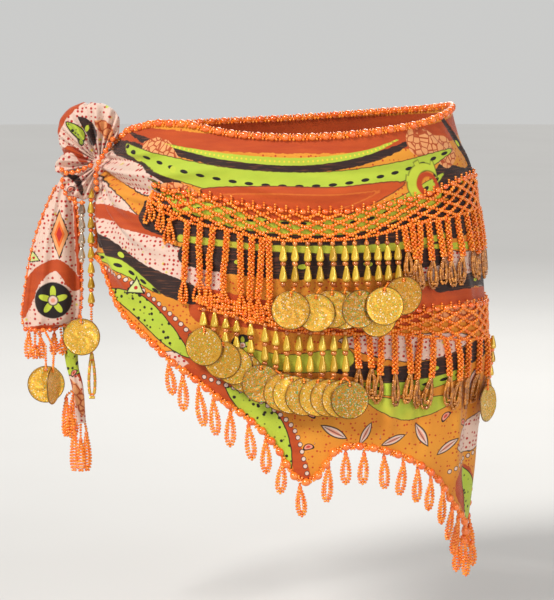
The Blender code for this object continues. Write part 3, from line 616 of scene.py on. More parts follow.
KNOT_FIGURES = ((DROPLET, -183, 3, 4, 70), (BEAN, -198, -52, 5, 40), (DROPLET, -164, 24, 4, 60))
PANEL_RIBBONS, PANEL_FIGURES = RIBBONS + BACK_RIBBONS, FIGURES + BACK_FIGURES
TAIL_RIBBONS = (
    (WHITE_Z, 120, 0, -220, -30, -220, -200),
    (RUST_Z, 6, 0, -246, -166, -232, -134, -212, -122, -196, -140),
    (RUST_Z, 5, 0, -246, -186, -220, -182, -190, -184),
    (RUST_Z, 2.5, 0, -196, -60, -194, -100, -192, -130),
)
TAIL_FIGURES = ((RHOMB, -210, -94, 23, 90), (ROSETTE, -216, -154, 17, 0), (TRIANGLE, -234, -116, 7, 10))
NARROW_RIBBONS = (
    (BLOTCH_Z, 30, 0, -205, -128, -204, -196),
    (WHITE_Z, 20, 0, -198, -212, -192, -270),
    (RUST_Z, 3, 0, -210, -206, -196, -216, -188, -232),
    (CRACKLE_Z, 5, 1, -204, -226, -194, -244, -190, -262),
)
NARROW_FIGURES = ((BEAN, -198, -222, 5, 50),)


def smooth_path(points, n=48):
    p = np.asarray(points, float).reshape(-1, 2)
    p = np.concatenate([[2 * p[0] - p[1]], p, [2 * p[-1] - p[-2]]])
    out = []
    m = len(p) - 3
    for u in np.linspace(0, m - 1e-6, n):
        i = int(u)
        f = u - i
        a, b, c, d = p[i], p[i + 1], p[i + 2], p[i + 3]
        out.append(0.5 * (2 * b + (c - a) * f + (2 * a - 5 * b + 4 * c - d) * f ** 2 + (3 * b - a - 3 * c + d) * f ** 3))
    return np.array(out)


def paint(mesh, x, z, ribbons, figures):
    """Store where each painted zone and figure lies, as fields the material draws from."""
    zones = np.full((9, len(x)), 40.0)
    u_at, v_at = np.zeros((9, len(x))), np.full((9, len(x)), 40.0)
    for row in ribbons:
        zone, half, pointed = row[:3]
        path = smooth_path(row[3:])
        seg = np.hypot(*np.diff(path, axis=0).T)
        run = np.concatenate([[0], np.cumsum(seg)])
        best, u, v = np.full(len(x), 1e9), np.zeros(len(x)), np.zeros(len(x))
        for i in range(len(path) - 1):
            bx, bz = path[i + 1] - path[i]
            k = np.clip(((x - path[i, 0]) * bx + (z - path[i, 1]) * bz) / (bx * bx + bz * bz + 1e-12), 0, 1)
            dx, dz = x - path[i, 0] - k * bx, z - path[i, 1] - k * bz
            d = np.hypot(dx, dz)
            near = d < best
            best = np.where(near, d, best)
            u = np.where(near, run[i] + k * seg[i], u)
            v = np.where(near, np.sign(bx * dz - bz * dx) * d, v)
        share = u / run[-1]
        w = half * (np.sin(np.pi * np.clip(share, 0.001, 0.999)) ** 0.7 if pointed else 1 + 0.12 * np.sin(7 * share + half))
        field = best - w
        near = field < zones[zone]
        zones[zone] = np.where(near, field, zones[zone])
        u_at[zone], v_at[zone] = np.where(near, u, u_at[zone]), np.where(near, v, v_at[zone])
    lens = np.full(len(x), 40.0)
    if ribbons is PANEL_RIBBONS:
        for row in CARTOUCHE_RIBBONS:
            path = smooth_path(row, 70)
            d = np.full(len(x), 1e9)
            for i, (px, pz) in enumerate(path):
                d = np.minimum(d, np.hypot(x - px, z - pz) - 14.5 * math.sin(math.pi * (i + 0.5) / 70) ** 0.8)
            lens = np.minimum(lens, d)
    fx, fy, kind, reach = np.full(len(x), 9.0), np.full(len(x), 9.0), np.zeros(len(x)), np.full(len(x), 9.0)
    taken = []
    for k, s, h, size, turn in figures:
        if any(math.hypot(s - q[0], h - q[1]) < 0.98 * (size + q[2]) + 2.0 for q in taken):
            continue
        taken.append((s, h, size))
        a = math.radians(turn)
        px = ((x - s) * math.cos(a) + (z - h) * math.sin(a)) / size
        py = (-(x - s) * math.sin(a) + (z - h) * math.cos(a)) / size
        r = np.hypot(px, py) - 1.12
        near = r < reach
        fx, fy, kind, reach = np.where(near, px, fx), np.where(near, py, fy), np.where(near, k, kind), np.where(near, r, reach)

    def keep(name, *cols):
        at = mesh.attributes.new(name, "FLOAT_VECTOR", "POINT")
        at.data.foreach_set("vector", np.stack(cols, -1).astype(np.float32).ravel())

    keep("cloth_mm", x, z, np.zeros(len(x)))
    keep("zone_a", zones[WHITE_Z], zones[RUST_Z], zones[BROWN_Z])
    keep("zone_b", zones[GREEN_Z], zones[CRACKLE_Z], zones[BLOTCH_Z])
    keep("run_ovals", u_at[OVALS_Z], v_at[OVALS_Z], zones[OVALS_Z])
    keep("run_dots", u_at[DOTS_Z], v_at[DOTS_Z], zones[DOTS_Z])
    keep("run_beading", u_at[BEADING_Z], v_at[BEADING_Z], zones[BEADING_Z])
    keep("figure", fx, fy, reach)
    keep("figure_kind", kind, lens, np.zeros(len(x)))


# ------------------------------------------------------------------ materials
class Val:
    """A number in a node tree, with arithmetic."""
    def __init__(self, nt, sock):
        self.nt, self.sock = nt, sock

    def _op(self, op, *args, clamp=False):
        n = self.nt.nodes.new("ShaderNodeMath")
        n.operation, n.use_clamp = op, clamp
        for i, a in enumerate(args):
            if isinstance(a, Val):
                self.nt.links.new(a.sock, n.inputs[i])
            else:
                n.inputs[i].default_value = a
        return Val(self.nt, n.outputs[0])

    def __add__(self, o): return self._op("ADD", self, o)
    def __radd__(self, o): return self._op("ADD", self, o)
    def __sub__(self, o): return self._op("SUBTRACT", self, o)
    def __rsub__(self, o): return self._op("SUBTRACT", o, self)
    def __mul__(self, o): return self._op("MULTIPLY", self, o)
    def __rmul__(self, o): return self._op("MULTIPLY", self, o)
    def __truediv__(self, o): return self._op("DIVIDE", self, o)
    def __neg__(self): return self._op("MULTIPLY", self, -1.0)
    def abs(self): return self._op("ABSOLUTE", self)
    def sqrt(self): return self._op("SQRT", self)
    def sin(self): return self._op("SINE", self)
    def fract(self): return self._op("FRACT", self)
    def mn(self, o): return self._op("MINIMUM", self, o)
    def mx(self, o): return self._op("MAXIMUM", self, o)
    def atan(self, o): return self._op("ARCTAN2", self, o)
    def inside(self, soft=0.3):
        """1 where the field is below zero."""
        return self._op("ADD", self * (-0.5 / soft), 0.5, clamp=True)


class Tree:
    def __init__(self, name):
        self.mat = bpy.data.materials.new(name)
        self.mat.use_nodes = True
        self.nt = self.mat.node_tree
        self.bsdf = self.nt.nodes["Principled BSDF"]

    def node(self, kind, **props):
        n = self.nt.nodes.new(kind)
        for k, v in props.items():
            setattr(n, k, v)
        return n

    def attr(self, name):
        n = self.node("ShaderNodeAttribute", attribute_name=name)
        s = self.node("ShaderNodeSeparateXYZ")
        self.nt.links.new(n.outputs["Vector"], s.inputs[0])
        return n.outputs["Vector"], [Val(self.nt, o) for o in s.outputs]

    def tone(self):
        return Val(self.nt, self.node("ShaderNodeAttribute", attribute_name="tone").outputs["Fac"])

    def scaled(self, vec, scale):
        n = self.node("ShaderNodeVectorMath", operation="MULTIPLY")
        self.nt.links.new(vec, n.inputs[0])
        n.inputs[1].default_value = scale
        return n.outputs[0]

    def noise(self, vec, scale=1.0, detail=2.0, out="Fac"):
        n = self.node("ShaderNodeTexNoise")
        self.nt.links.new(vec, n.inputs["Vector"])
        n.inputs["Scale"].default_value, n.inputs["Detail"].default_value = scale, detail
        return Val(self.nt, n.outputs[out])

    def cells(self, vec, scale, random=0.6, feature="F1", out="Distance"):
        n = self.node("ShaderNodeTexVoronoi", feature=feature)
        self.nt.links.new(vec, n.inputs["Vector"])
        n.inputs["Scale"].default_value, n.inputs["Randomness"].default_value = scale, random
        return Val(self.nt, n.outputs[out])

    def mix(self, fac, a, b, blend="MIX"):
        n = self.node("ShaderNodeMix", data_type="RGBA", blend_type=blend)
        for sock, val in ((n.inputs[0], fac), (n.inputs[6], a), (n.inputs[7], b)):
            if isinstance(val, Val):
                self.nt.links.new(val.sock, sock)
            elif isinstance(val, (int, float)):
                sock.default_value = val
            elif isinstance(val, tuple):
                sock.default_value = (*linear(val), 1)
            else:
                self.nt.links.new(val, sock)
        return n.outputs[2]

    def bump(self, height, strength, distance):
        n = self.node("ShaderNodeBump")
        n.inputs["Strength"].default_value, n.inputs["Distance"].default_value = strength, distance
        self.nt.links.new(height.sock, n.inputs["Height"])
        self.nt.links.new(n.outputs[0], self.bsdf.inputs["Normal"])

    def out(self, colour=None, **fixed):
        if colour is not None:
            self.nt.links.new(colour, self.bsdf.inputs["Base Color"])
        for k, v in fixed.items():
            sock = self.bsdf.inputs[k.replace("_", " ")]
            if isinstance(v, Val):
                self.nt.links.new(v.sock, sock)
            else:
                sock.default_value = v
        return self.mat


def linear(c):
    return tuple(v / 12.92 if v <= 0.04045 else ((v + 0.055) / 1.055) ** 2.4 for v in c)


ORANGE, LIME, GREEN, BROWN = (0.93, 0.42, 0.10), (0.78, 0.84, 0.24), (0.64, 0.77, 0.24), (0.19, 0.11, 0.09)
RUST, PEACH, CREAM, MUSTARD = (0.76, 0.27, 0.07), (0.95, 0.66, 0.42), (0.93, 0.81, 0.74), (0.89, 0.57, 0.14)
RED, INK, PINK, YELLOW = (0.74, 0.14, 0.10), (0.12, 0.07, 0.06), (0.93, 0.60, 0.50), (0.95, 0.85, 0.25)


def chiffon(name):
    k = Tree(name)
    mm, (cx, cz, _) = k.attr("cloth_mm")
    _, (white, rust, brown) = k.attr("zone_a")
    _, (green, crackle, blotch) = k.attr("zone_b")
    wob = (k.noise(mm, 0.16, 2.0) - 0.5) * 3.2
    dots = k.cells(mm, 1 / 4.1, 0.42)
    fine = k.cells(mm, 1 / 3.7, 0.6)
    ground = k.mix(k.noise(mm, 0.03, 2.0), (0.86, 0.50, 0.12), (0.95, 0.66, 0.20))
    c = k.mix((fine - 0.25).inside(0.06), ground, (0.78, 0.24, 0.09))
    speck = k.cells(k.scaled(mm, (1.0, 1.0, 1.0)), 1 / 9.5, 0.9)
    polka = k.mix((speck - 0.13).inside(0.05), CREAM, (0.86, 0.80, 0.30))
    polka = k.mix((dots - 0.29).inside(0.06), polka, RED)
    c = k.mix((white + wob - 0.9).inside(), c, INK)
    c = k.mix((white + wob).inside(), c, polka)
    shade = k.noise(k.scaled(mm, (0.02, 0.16, 1)), 1.0, 3.0)
    c = k.mix((rust + wob).inside(), c, k.mix(shade, (0.66, 0.20, 0.05), (0.84, 0.36, 0.10)))
    streak = k.noise(k.scaled(mm, (0.05, 0.9, 1)), 1.0, 3.0)
    c = k.mix((brown + wob).inside(), c, k.mix((0.60 - streak).inside(0.04), BROWN, (0.42, 0.24, 0.15)))
    c = k.mix((green + wob * 0.6 - 0.8).inside(), c, (0.30, 0.22, 0.10))
    c = k.mix((green + wob * 0.6).inside(), c, k.mix(k.noise(mm, 0.06, 2.0), GREEN, (0.86, 0.80, 0.24)))
    veins = k.cells(mm, 1 / 6.5, 0.9, "DISTANCE_TO_EDGE")
    c = k.mix((crackle + wob).inside(), c, k.mix((veins - 0.07).inside(0.03), PEACH, (0.72, 0.30, 0.12)))
    spots = k.cells(mm, 1 / 5.0, 0.9)
    leafy = k.mix(k.noise(k.scaled(mm, (0.03, 0.10, 1)), 1.0, 2.0) * 0.7, LIME, GREEN)
    c = k.mix((blotch + wob * 0.4 - 1.0).inside(), c, INK)
    c = k.mix((blotch + wob * 0.4).inside(), c, k.mix((spots - 0.30).inside(0.05), leafy, INK))
    _, (u, v, field) = k.attr("run_ovals")
    c = k.mix((field + wob * 0.5 - 0.7).inside(), c, (0.30, 0.22, 0.10))
    c = k.mix((field + wob * 0.5).inside(), c, leafy)
    x = ((u / 15.0).fract() - 0.5) * 15.0
    oval = (x * x / 15.0 + v * v / 2.2).sqrt() - 1.0
    c = k.mix((oval.mx(field)).inside(0.12), c, INK)
    _, (_, lens, _) = k.attr("figure_kind")
    c = k.mix((lens + wob * 0.5 - 1.0).inside(), c, (0.50, 0.22, 0.10))
    c = k.mix((lens + wob * 0.5).inside(), c, k.mix(shade, (0.70, 0.22, 0.05), (0.86, 0.38, 0.10)))
    c = k.mix(((lens + 6.0).abs() - 0.5 + wob * 0.3).inside(0.4) * 0.55, c, (0.92, 0.52, 0.18))
    _, (u, v, field) = k.attr("run_dots")
    c = k.mix((field + wob * 0.3).inside(), c, leafy)
    x = ((u / 4.4).fract() - 0.5) * 4.4
    c = k.mix(((x * x + v * v).sqrt() - 0.9).mx(field).inside(0.2), c, YELLOW)
    _, (u, v, field) = k.attr("run_beading")
    x = ((u / 6.6).fract() - 0.5) * 6.6
    r = (x * x + v * v).sqrt()
    c = k.mix((r - 2.3).mx(field).inside(0.2), c, INK)
    c = k.mix((r - 1.7).mx(field).inside(0.2), c, CREAM)
    # single figures, each in its own unit frame
    _, (x, y, reach) = k.attr("figure")
    _, (kind, _, _) = k.attr("figure_kind")
    yy = y + x * x * 0.35 - 0.12
    swell = ((1.0 - x * x).mx(0.0)).sqrt()
    tear = yy.abs() - swell * (0.62 - x * 0.30) * 0.8
    leaf = y.abs() - (1.0 - x * x) * 0.30
    r = (x * x + y * y).sqrt()
    bean = (x * x + yy * yy * 3.2).sqrt() - 0.8
    tri = (x.abs() * 0.87 + y * 0.5 - 0.42).mx(-y - 0.42)
    drop = (x * x + y * y * 3.4).sqrt() - 0.8
    rhomb = x.abs() + y.abs() * 2.6 - 0.88
    ang = y.atan(x)
    petal = r - 0.52 - (ang * 5.0).sin() * 0.26
    arc = (r - 0.66).abs() - (x * -0.5 + 1.0).abs() * 0.16
    spur = (r - 0.93) .mx((ang * 3.5).sin().abs() * -1.0 + 0.90)
    hook = arc.mn(spur.mx(0.6 - r)).mx(x * 0.8 - y * 0.5 - 0.45)

    def stamp(number, rings, c):
        gate = ((kind - float(number)).abs() - 0.3).mx(reach + 0.03)
        for field, colour in rings:
            c = k.mix(gate.mx(field).inside(0.03), c, colour)
        return c

    seeds = k.mix((dots - 0.26).inside(0.05), CREAM, RED)
    c = stamp(PAISLEY, ((tear - 0.05, INK), (tear + 0.05, CREAM), (tear + 0.16, INK), (tear + 0.20, seeds), (r - 0.20, INK), (r - 0.15, PINK)), c)
    c = stamp(LEAF, ((leaf - 0.03, INK), (leaf + 0.06, CREAM), (leaf + 0.18, PINK), ((y.abs() - 0.025).mx(x.abs() - 0.72), INK)), c)
    c = stamp(BEAN, ((bean, INK), (bean + 0.22, PINK), (bean + 0.5, (0.80, 0.28, 0.20))), c)
    scal = tri - (ang * 12.0).sin() * 0.04
    c = stamp(TRIANGLE, ((scal - 0.12, INK), (tri + 0.02, (0.84, 0.88, 0.55)), (r - 0.17, RED)), c)
    c = stamp(DROPLET, ((drop, LIME),), c)
    edge = rhomb - (ang * 14.0).sin() * 0.05
    c = stamp(RHOMB, ((edge - 0.10, INK), (rhomb, PEACH), (rhomb + 0.34, ORANGE), (rhomb + 0.56, RED)), c)
    c = stamp(ROSETTE, ((r - 0.98, INK), (petal, LIME), (r - 0.30, INK), (r - 0.24, CREAM), (r - 0.12, PINK)), c)
    c = stamp(SCROLL, ((hook - 0.03, INK), (hook, LIME), ((r - 0.38).abs() - 0.10 + x * 0.06, RUST)), c)
    # the woven ground: two crossed threads, slightly uneven dye
    warp, weft = (cx * (2 * math.pi / 0.85)).sin(), (cz * (2 * math.pi / 0.85)).sin()
    dye = k.noise(mm, 0.045, 3.0)
    c = k.mix(dye * 0.30, c, (0.80, 0.66, 0.52), "MULTIPLY")
    thread = warp * weft
    c = k.mix((thread - 0.35).inside(0.5) * 0.10, c, (0.55, 0.42, 0.34), "MULTIPLY")
    k.bump(thread * 0.5 + k.noise(mm, 0.5, 2.0) * 1.5, 0.35, 0.0005)
    return k.out(c, Roughness=0.62, Sheen_Weight=0.25, Sheen_Roughness=0.4, Specular_IOR_Level=0.3)


def glass(name, dark, light, rough=0.22, metal=0.0, coat=0.5):
    """Glossy beads, each of its own tone."""
    k = Tree(name)
    geo = k.node("ShaderNodeTexCoord").outputs["Object"]
    tone = k.tone()
    c = k.mix(tone, dark, light)
    fleck = k.noise(geo, 900.0, 2.0)
    c = k.mix(fleck * 0.35, c, light)
    k.bump(k.noise(geo, 1400.0, 2.0), 0.15, 0.0002)
    return k.out(c, Roughness=fleck * 0.2 + (rough - 0.08), Metallic=metal, Coat_Weight=coat, Coat_Roughness=0.12, Subsurface_Weight=0.0)


def glitter(name):
    """Gold foil under fine glitter: grains that each throw their own tint and tilt, with green, near-white and teal
    grains painted in as glints, more of them on some coins; painted shade darkens each coin by its own amount and lies
    as a thin dark band round its edge.
    """
    k = Tree(name)
    geo = k.node("ShaderNodeTexCoord").outputs["Object"]
    v = k.node("ShaderNodeTexVoronoi", feature="F1")
    k.nt.links.new(geo, v.inputs["Vector"])
    v.inputs["Scale"].default_value = 1150.0
    sep = k.node("ShaderNodeSeparateColor")
    k.nt.links.new(v.outputs["Color"], sep.inputs[0])
    a, b, d = (Val(k.nt, o) for o in sep.outputs[:3])
    tone = k.tone()
    c = k.mix(a, (0.82, 0.59, 0.15), (0.94, 0.74, 0.27))
    painted_glint_share = (tone - 0.55).mx(0.0)
    # painted glints: green, near-white and teal grains mixed into the foil's colour, more of them on coins of high tone
    c = k.mix((0.95 - b - painted_glint_share * 0.50).inside(0.02), c, (0.56, 0.72, 0.24))
    c = k.mix((0.95 - d - painted_glint_share * 0.12).inside(0.02), c, (1.0, 0.96, 0.84))
    c = k.mix((0.99 - a - painted_glint_share * 0.12).inside(0.02), c, (0.42, 0.80, 0.70))
    # painted shade: each coin darkened by its own amount, as for coins turned away from the light
    c = k.mix((tone * 7.31).fract() * 0.70, c, (0.76, 0.56, 0.36), "MULTIPLY")
    edge_at = Val(k.nt, k.node("ShaderNodeAttribute", attribute_name="rim").outputs["Fac"])
    # painted shade: a thin dark band round each coin's edge
    c = k.mix((0.952 - edge_at).inside(0.012) * 0.8, c, (0.40, 0.24, 0.07))
    k.bump(a + b * 0.7, 0.20, 0.0003)
    return k.out(c, Roughness=d * 0.20 + 0.24, Metallic=0.62, Specular_IOR_Level=0.6)


CHIFFON = chiffon("printed_chiffon")
SEEDS = glass("orange_seed_beads", (0.94, 0.38, 0.04), (1.0, 0.60, 0.16), 0.17)
PEARLS = glass("orange_pearls", (0.94, 0.36, 0.06), (0.98, 0.50, 0.14), 0.16, 0.12, 0.9)
TEARS = glass("yellow_gold_drops", (0.74, 0.54, 0.08), (0.94, 0.78, 0.26), 0.20, 0.40, 0.8)
AMBER = glass("amber_beads", (0.60, 0.28, 0.07), (0.90, 0.54, 0.24), 0.18, 0.25, 0.8)
GILT = glass("gold_bugles", (0.46, 0.22, 0.05), (0.88, 0.56, 0.18), 0.18, 0.35, 0.8)
SILVER = glass("silver_pearls", (0.48, 0.35, 0.26), (0.88, 0.80, 0.70), 0.15, 0.6, 0.8)
COIN_FOIL = glitter("glitter_coin")

# ------------------------------------------------------------------ camera, first
EYE = math.radians(7)
TARGET = Vector((-0.01196, 0.0, -0.1564))
camera = bpy.data.objects.new("camera", bpy.data.cameras.new("camera"))
bpy.context.scene.collection.objects.link(camera)
camera.data.lens, camera.data.sensor_width = 150, 36
camera.location = TARGET + 2.3 * Vector((0, -math.cos(EYE), math.sin(EYE)))
camera.rotation_euler = (TARGET - camera.location).to_track_quat("-Z", "Y").to_euler()
camera.data.clip_end = 50
bpy.context.scene.camera = camera


# ------------------------------------------------------------------ the wrapped cloth
def grid_quads(rows, cols):
    i = np.arange(rows - 1)[:, None] * cols + np.arange(cols - 1)[None]
    return np.stack([i, i + 1, i + 1 + cols, i + cols], -1).reshape(-1, 4)


def wall(ob, thick):
    mod = ob.modifiers.new("thickness", "SOLIDIFY")
    mod.thickness, mod.offset, mod.use_rim = thick * MM, 0.0, True


def wrap(name, start, end, cols, rows):
    ts = np.linspace(start, end, cols)
    v = np.linspace(0, 1, rows)[:, None]
    foot, top = HEM_LINE(ts) + 0.6, TOP(ts) - 0.6
    T = np.broadcast_to(ts, (rows, cols))
    Z = foot + (top - foot) * v
    P = place(T, Z, skin(T, Z)).reshape(-1, 3)
    mesh = mesh_of(name, P, grid_quads(rows, cols))
    paint(mesh, T.ravel() * GIRTH_HALF, Z.ravel(), PANEL_RIBBONS, PANEL_FIGURES)
    ob = piece(name + "_cloth", mesh, [CHIFFON], [name])
    wall(ob, 0.6)
    return ob


wrap("wrap_front", -0.4995, 0.4995, 226, 120)
wrap("wrap_back", 0.5005, 1.4995, 164, 76)


# ------------------------------------------------------------------ bound edges
def edge(heap, line, start, end, pitch, pearl, lift, up):
    ts = np.linspace(start, end, 900)
    path = place(ts, line(ts), skin(ts, line(ts)) - 0.7 + lift)
    at, d = resample(path, pitch)
    near = np.minimum(1, 0.72 + np.abs(at[:, 0] + 175) / 160) if pearl > 3.2 else np.ones(len(at))
    heap.put(PEARL, at, d, np.stack([pearl * near, pearl * near, pearl * near * 1.08], -1), 1)
    mid = (at[1:] + at[:-1]) / 2
    md = at[1:] - at[:-1]
    md /= np.linalg.norm(md, axis=1, keepdims=True)
    for k in (-0.2, 0.0, 0.2):
        heap.put(SEED, mid + md * pitch * k, md, 1.6)
    for k in (-1, 1):
        heap.put(SEED, mid + md * pitch * 0.12 * k + np.array([0, -0.8, 2.0 * up]), md, 1.35)
        heap.put(SEED, mid + md * pitch * 0.14 * k + np.array([0, -1.0, -2.0 * up]), md, 1.4)


heap = Heap()
edge(heap, TOP, -0.470, 1.462, 11.8, 3.6, 1.6, 1)
heap.make("edge_beads_strung", [SEEDS, PEARLS], ["edge_beads"], "orange_pearls")
for name, start, end in (("hem_trim_front", -0.49, 0.497), ("hem_trim_back", 0.503, 1.49)):
    heap = Heap()
    edge(heap, HEM_LINE, start, end, 12.5, 3.75, 1.6, -1)
    ts = np.linspace(start, end, 700)
    z = HEM_LINE(ts) + 1.8 * np.sin(ts * GIRTH_HALF * 2 * math.pi / 6.25)
    string(heap, place(ts, z, skin(ts, z) + 1.7), 1.3)
    heap.make(name + "_strung", [SEEDS, PEARLS], [name], "orange_beads")


# ------------------------------------------------------------------ hanging loops under the hem
def hang_loop(heap, t, z, half, height, lift=1.6, strands=3, stem=4.0, lean=0.0, mat=0):
    """A teardrop of nested seed-bead loops on a short stem."""
    lift0 = float(relief(np.array(t), np.array(z))) + lift
    zs = np.linspace(z, z - stem, 5)
    string(heap, place(t, zs, lift0), 1.45, mat)
    for k in range(2):
        x, dz = loop_path(0, half - 2.35 * k, height - 4.2 * k, lean)
        tt, zz = t + x / GIRTH_HALF, z - stem - 1.6 * k + dz
        fall = np.clip(-dz / height, 0, 1)
        string(heap, place(tt, zz, (lift0 - 0.8) * (1 - fall) + lift + 0.5 * k), 1.62, mat, 2.75)
    heap.put(PEARL, place(t, z - stem, lift0 + 0.6), size=2.0, mat=1 if mat == 0 else mat)


def free_loop(heap, at, half, height, lean, turn, strands=3):
    x0, y0, z0 = at
    string(heap, np.array([(x0, y0, z0 + 3), (x0, y0, z0)], float), 1.15)
    for k in range(2):
        x, dz = loop_path(0, half - 2.2 * k, height - 4.0 * k, lean)
        string(heap, np.stack([x0 + x * math.cos(turn), y0 + x * math.sin(turn) - 0.5 * k, z0 - 1.5 * k + dz], -1), 1.62, 0, 2.75)
    heap.put(PEARL, (x0, y0 - 0.8, z0), size=2.0, mat=1)


LOOPS = ((-0.232, 24, 0.5), (-0.205, 28, -1), (-0.176, 31, 1), (-0.148, 29, 0), (-0.116, 28, -1), (-0.082, 28, 1), (-0.049, 27, 0), (-0.016, 25, -1),
         (0.019, 24, 1), (0.076, 29, -0.5), (0.110, 25, 0.5), (0.147, 25, 0), (0.189, 26, 1), (0.231, 26, -1), (0.264, 26, 0.5),
         (0.297, 25, 0), (0.330, 27, 1), (0.362, 26, -1), (0.390, 27, 0))
for name, low, high in (("loops_front_left", -0.3, 0.046), ("loops_front_right", 0.054, 0.41)):
    heap = Heap()
    for t, height, lean in LOOPS:
        if low < t < high:
            hang_loop(heap, t, float(HEM_LINE(t)) - 2.5, 5.1, height + 2, lean=lean * 2)
    heap.make(name + "_strung", [SEEDS, PEARLS], [name], "orange_beads")
heap = Heap()
for k, t in enumerate(np.arange(0.575, 1.32, 0.0395)):
    hang_loop(heap, t, float(HEM_LINE(t)) - 2.5, 4.6, 26 + 2.5 * math.sin(k * 2.3), lean=2 * math.sin(k * 1.7), strands=2)
heap.make("loops_back_strung", [SEEDS, PEARLS], ["loops_back"], "orange_beads")
heap = Heap()
tip = place(0.447, -381.0, 3.0)
for dx, dy, dz, height, lean, turn in ((-9.0, 1.0, 15.0, 24, -1.5, 0.3), (4.5, 1.5, 19.0, 22, 1.0, 0.4), (-2.0, -2.0, 8.0, 25, 0.5, 0.2), (6.5, 0.5, 3.0, 22, 1.0, 0.5), (-7.0, -0.5, -3.0, 21, -1.0, 0.2), (0.5, -2.5, -7.0, 21, 0.5, 0.3)):
    free_loop(heap, (tip[0] + dx, tip[1] + dy, tip[2] + dz), 4.1, height, lean, turn)
    string(heap, np.array([(tip[0] + dx, tip[1] + dy, tip[2] + dz + 3), (tip[0] + dx * 0.4, tip[1] + dy * 0.5, tip[2] + dz + 12)]), 1.4)
heap.make("tassel_apex_strung", [SEEDS, PEARLS], ["tassel_apex"], "orange_beads")


# ------------------------------------------------------------------ bead nets
def net(name, table, start, end, plain_to=-1.0):
    top, foot = Line(table, 1), Line(table, 2)
    heap, halves = Heap(name), 6
    pitch = 19.5 / GIRTH_HALF
    n = int((end - start) / pitch)
    pitch = (end - start) / (n + 0.5)

    def knot_at(k, r):
        t = min(end, start + (k + 0.5 * (r % 2)) * pitch)
        a, b = float(top(t)), float(foot(t))
        gather = 1.0 if start > 0.4 else min(1.0, 0.25 + (t - start) * GIRTH_HALF / 26)
        return t, (a + b) / 2 + (a - b) * (0.5 - r / halves) * gather

    def strand(p, q):
        u = np.linspace(0, 1, 5)
        t, z = p[0] + (q[0] - p[0]) * u, p[1] + (q[1] - p[1]) * u - 0.7 * np.sin(math.pi * u)
        string(heap, place(t, z, skin(t, z) + 2.1), 1.75)

    for r in range(halves):
        for k in range(n + 1):
            here = knot_at(k, r)
            for other in ((k, r + 1), (k - 1 if r % 2 == 0 else k + 1, r + 1)):
                if 0 <= other[0] <= n and abs(knot_at(*other)[0] - here[0]) > 0.004:
                    strand(here, knot_at(*other))
    ts = np.linspace(max(start + 0.004, plain_to), end, 500)
    z = top(ts) + 1.4
    path = place(ts, z, skin(ts, z) + 2.2)
    at, d = resample(path, 9.8)
    heap.put(PEARL, at, d, (2.35, 2.35, 3.1), 1)
    mid = (at[1:] + at[:-1]) / 2
    heap.put(SEED, mid, (0, 0, 1), 1.35)
    for rise in (2.4, 4.4):
        heap.put(SEED, mid + np.array([0, 0, rise]), (0, 0, 1), 1.15)
    ts = np.linspace(start + 0.004, end, 500)
    z = foot(ts) - 0.3
    string(heap, place(ts, z, skin(ts, z) + 1.9), 1.3)
    heap.make(name + "_strung", [SEEDS, PEARLS], [name], "orange_beads")


net("net_upper_front", NET_UPPER, -0.290, 0.4995)
net("net_upper_back", NET_UPPER, 0.5005, 1.27)
net("net_lower_front", NET_LOWER, -0.178, 0.4995, 0.03)
net("net_lower_back", NET_LOWER, 0.5005, 1.10)


# ------------------------------------------------------------------ fringes
def fringe(name, strands, table, foot, bugles, loop, braid=3):
    """Twisted strings that end in open loops."""
    heap, low = Heap(name), Line(table, 2)
    for i, t in enumerate(strands):
        z0, z1 = float(low(t)), float(foot(t)) + 2.5 * math.sin(i * 2.1)
        turn = max(z0 - 6, z1 + loop) if z0 - z1 < loop + 12 else z1 + loop
        sway = 2.6 * math.sin(i * 1.9 + 0.6) / GIRTH_HALF
        k = np.linspace(0, 1, 12)
        zz = z0 + (turn - z0) * k
        tt = t + sway * k
        lift = 1.6 + 1.6 * k
        twist(heap, place(tt, zz, skin(tt, zz) + lift), 1.5, 2.05, 13.0, 0, braid if z0 - turn > 14 else 2)
        if bugles:                                   # one teardrop of bugles inside another
            for m in (0, 1):
                x, dz = loop_path(0, 4.7 - 2.2 * m, (turn - z1) * (1 - 0.16 * m - 0.05 * (i % 3)), 1.6 * math.sin(i * 2.9))
                ta, za = t + sway + x / GIRTH_HALF, turn + dz
                at, d = resample(place(ta, za, skin(ta, za) + 2.6 + 0.8 * m + 0.9 * (i % 2)), 5.0)
                heap.put(BUGLE, at, d, (1.3, 1.3, 2.2), 2)
                heap.put(SEED, (at[1:] + at[:-1]) / 2, (0, 1, 0), 1.35, 2)
        else:
            for m, side in enumerate((-0.75, 0.75)):
                fall = (turn - z1) * (1 - 0.10 * ((i + m) % 2) - 0.04 * ((i + m) % 3))
                x, dz = loop_path(0, 3.1, fall, side * 3.6 + 1.2 * math.sin(i * 2.9 + m * 2.2))
                ta, za = t + sway + x / GIRTH_HALF, turn + dz
                string(heap, place(ta, za, skin(ta, za) + 2.6 + 1.3 * (m % 2)), 1.5)
        if name == "fringe_lower_right" and t > 0.44:
            for zc in np.arange(z0 - 7, z1 + 12, -12.5):
                heap.put(DROP, place(t + 0.004, zc, float(skin(np.array(t), np.array(zc))) + 7.0), (0, 0, 1), (3.6, 3.6, 5.2), 3)
                heap.put(PEARL, place(t + 0.004, zc - 6.2, float(skin(np.array(t), np.array(zc))) + 6.6), size=2.2, mat=1)
        z2 = turn + 1.0
        heap.put(SEED, np.array([place(t + sway + q / GIRTH_HALF, z2, float(skin(np.array(t), np.array(z2))) + 3.4) for q in (-1.8, 0, 1.8)]), (0, 1, 0), 1.5, 0)
    heap.make(name + "_strung", [SEEDS, PEARLS, GILT, TEARS], [name], "orange_beads")


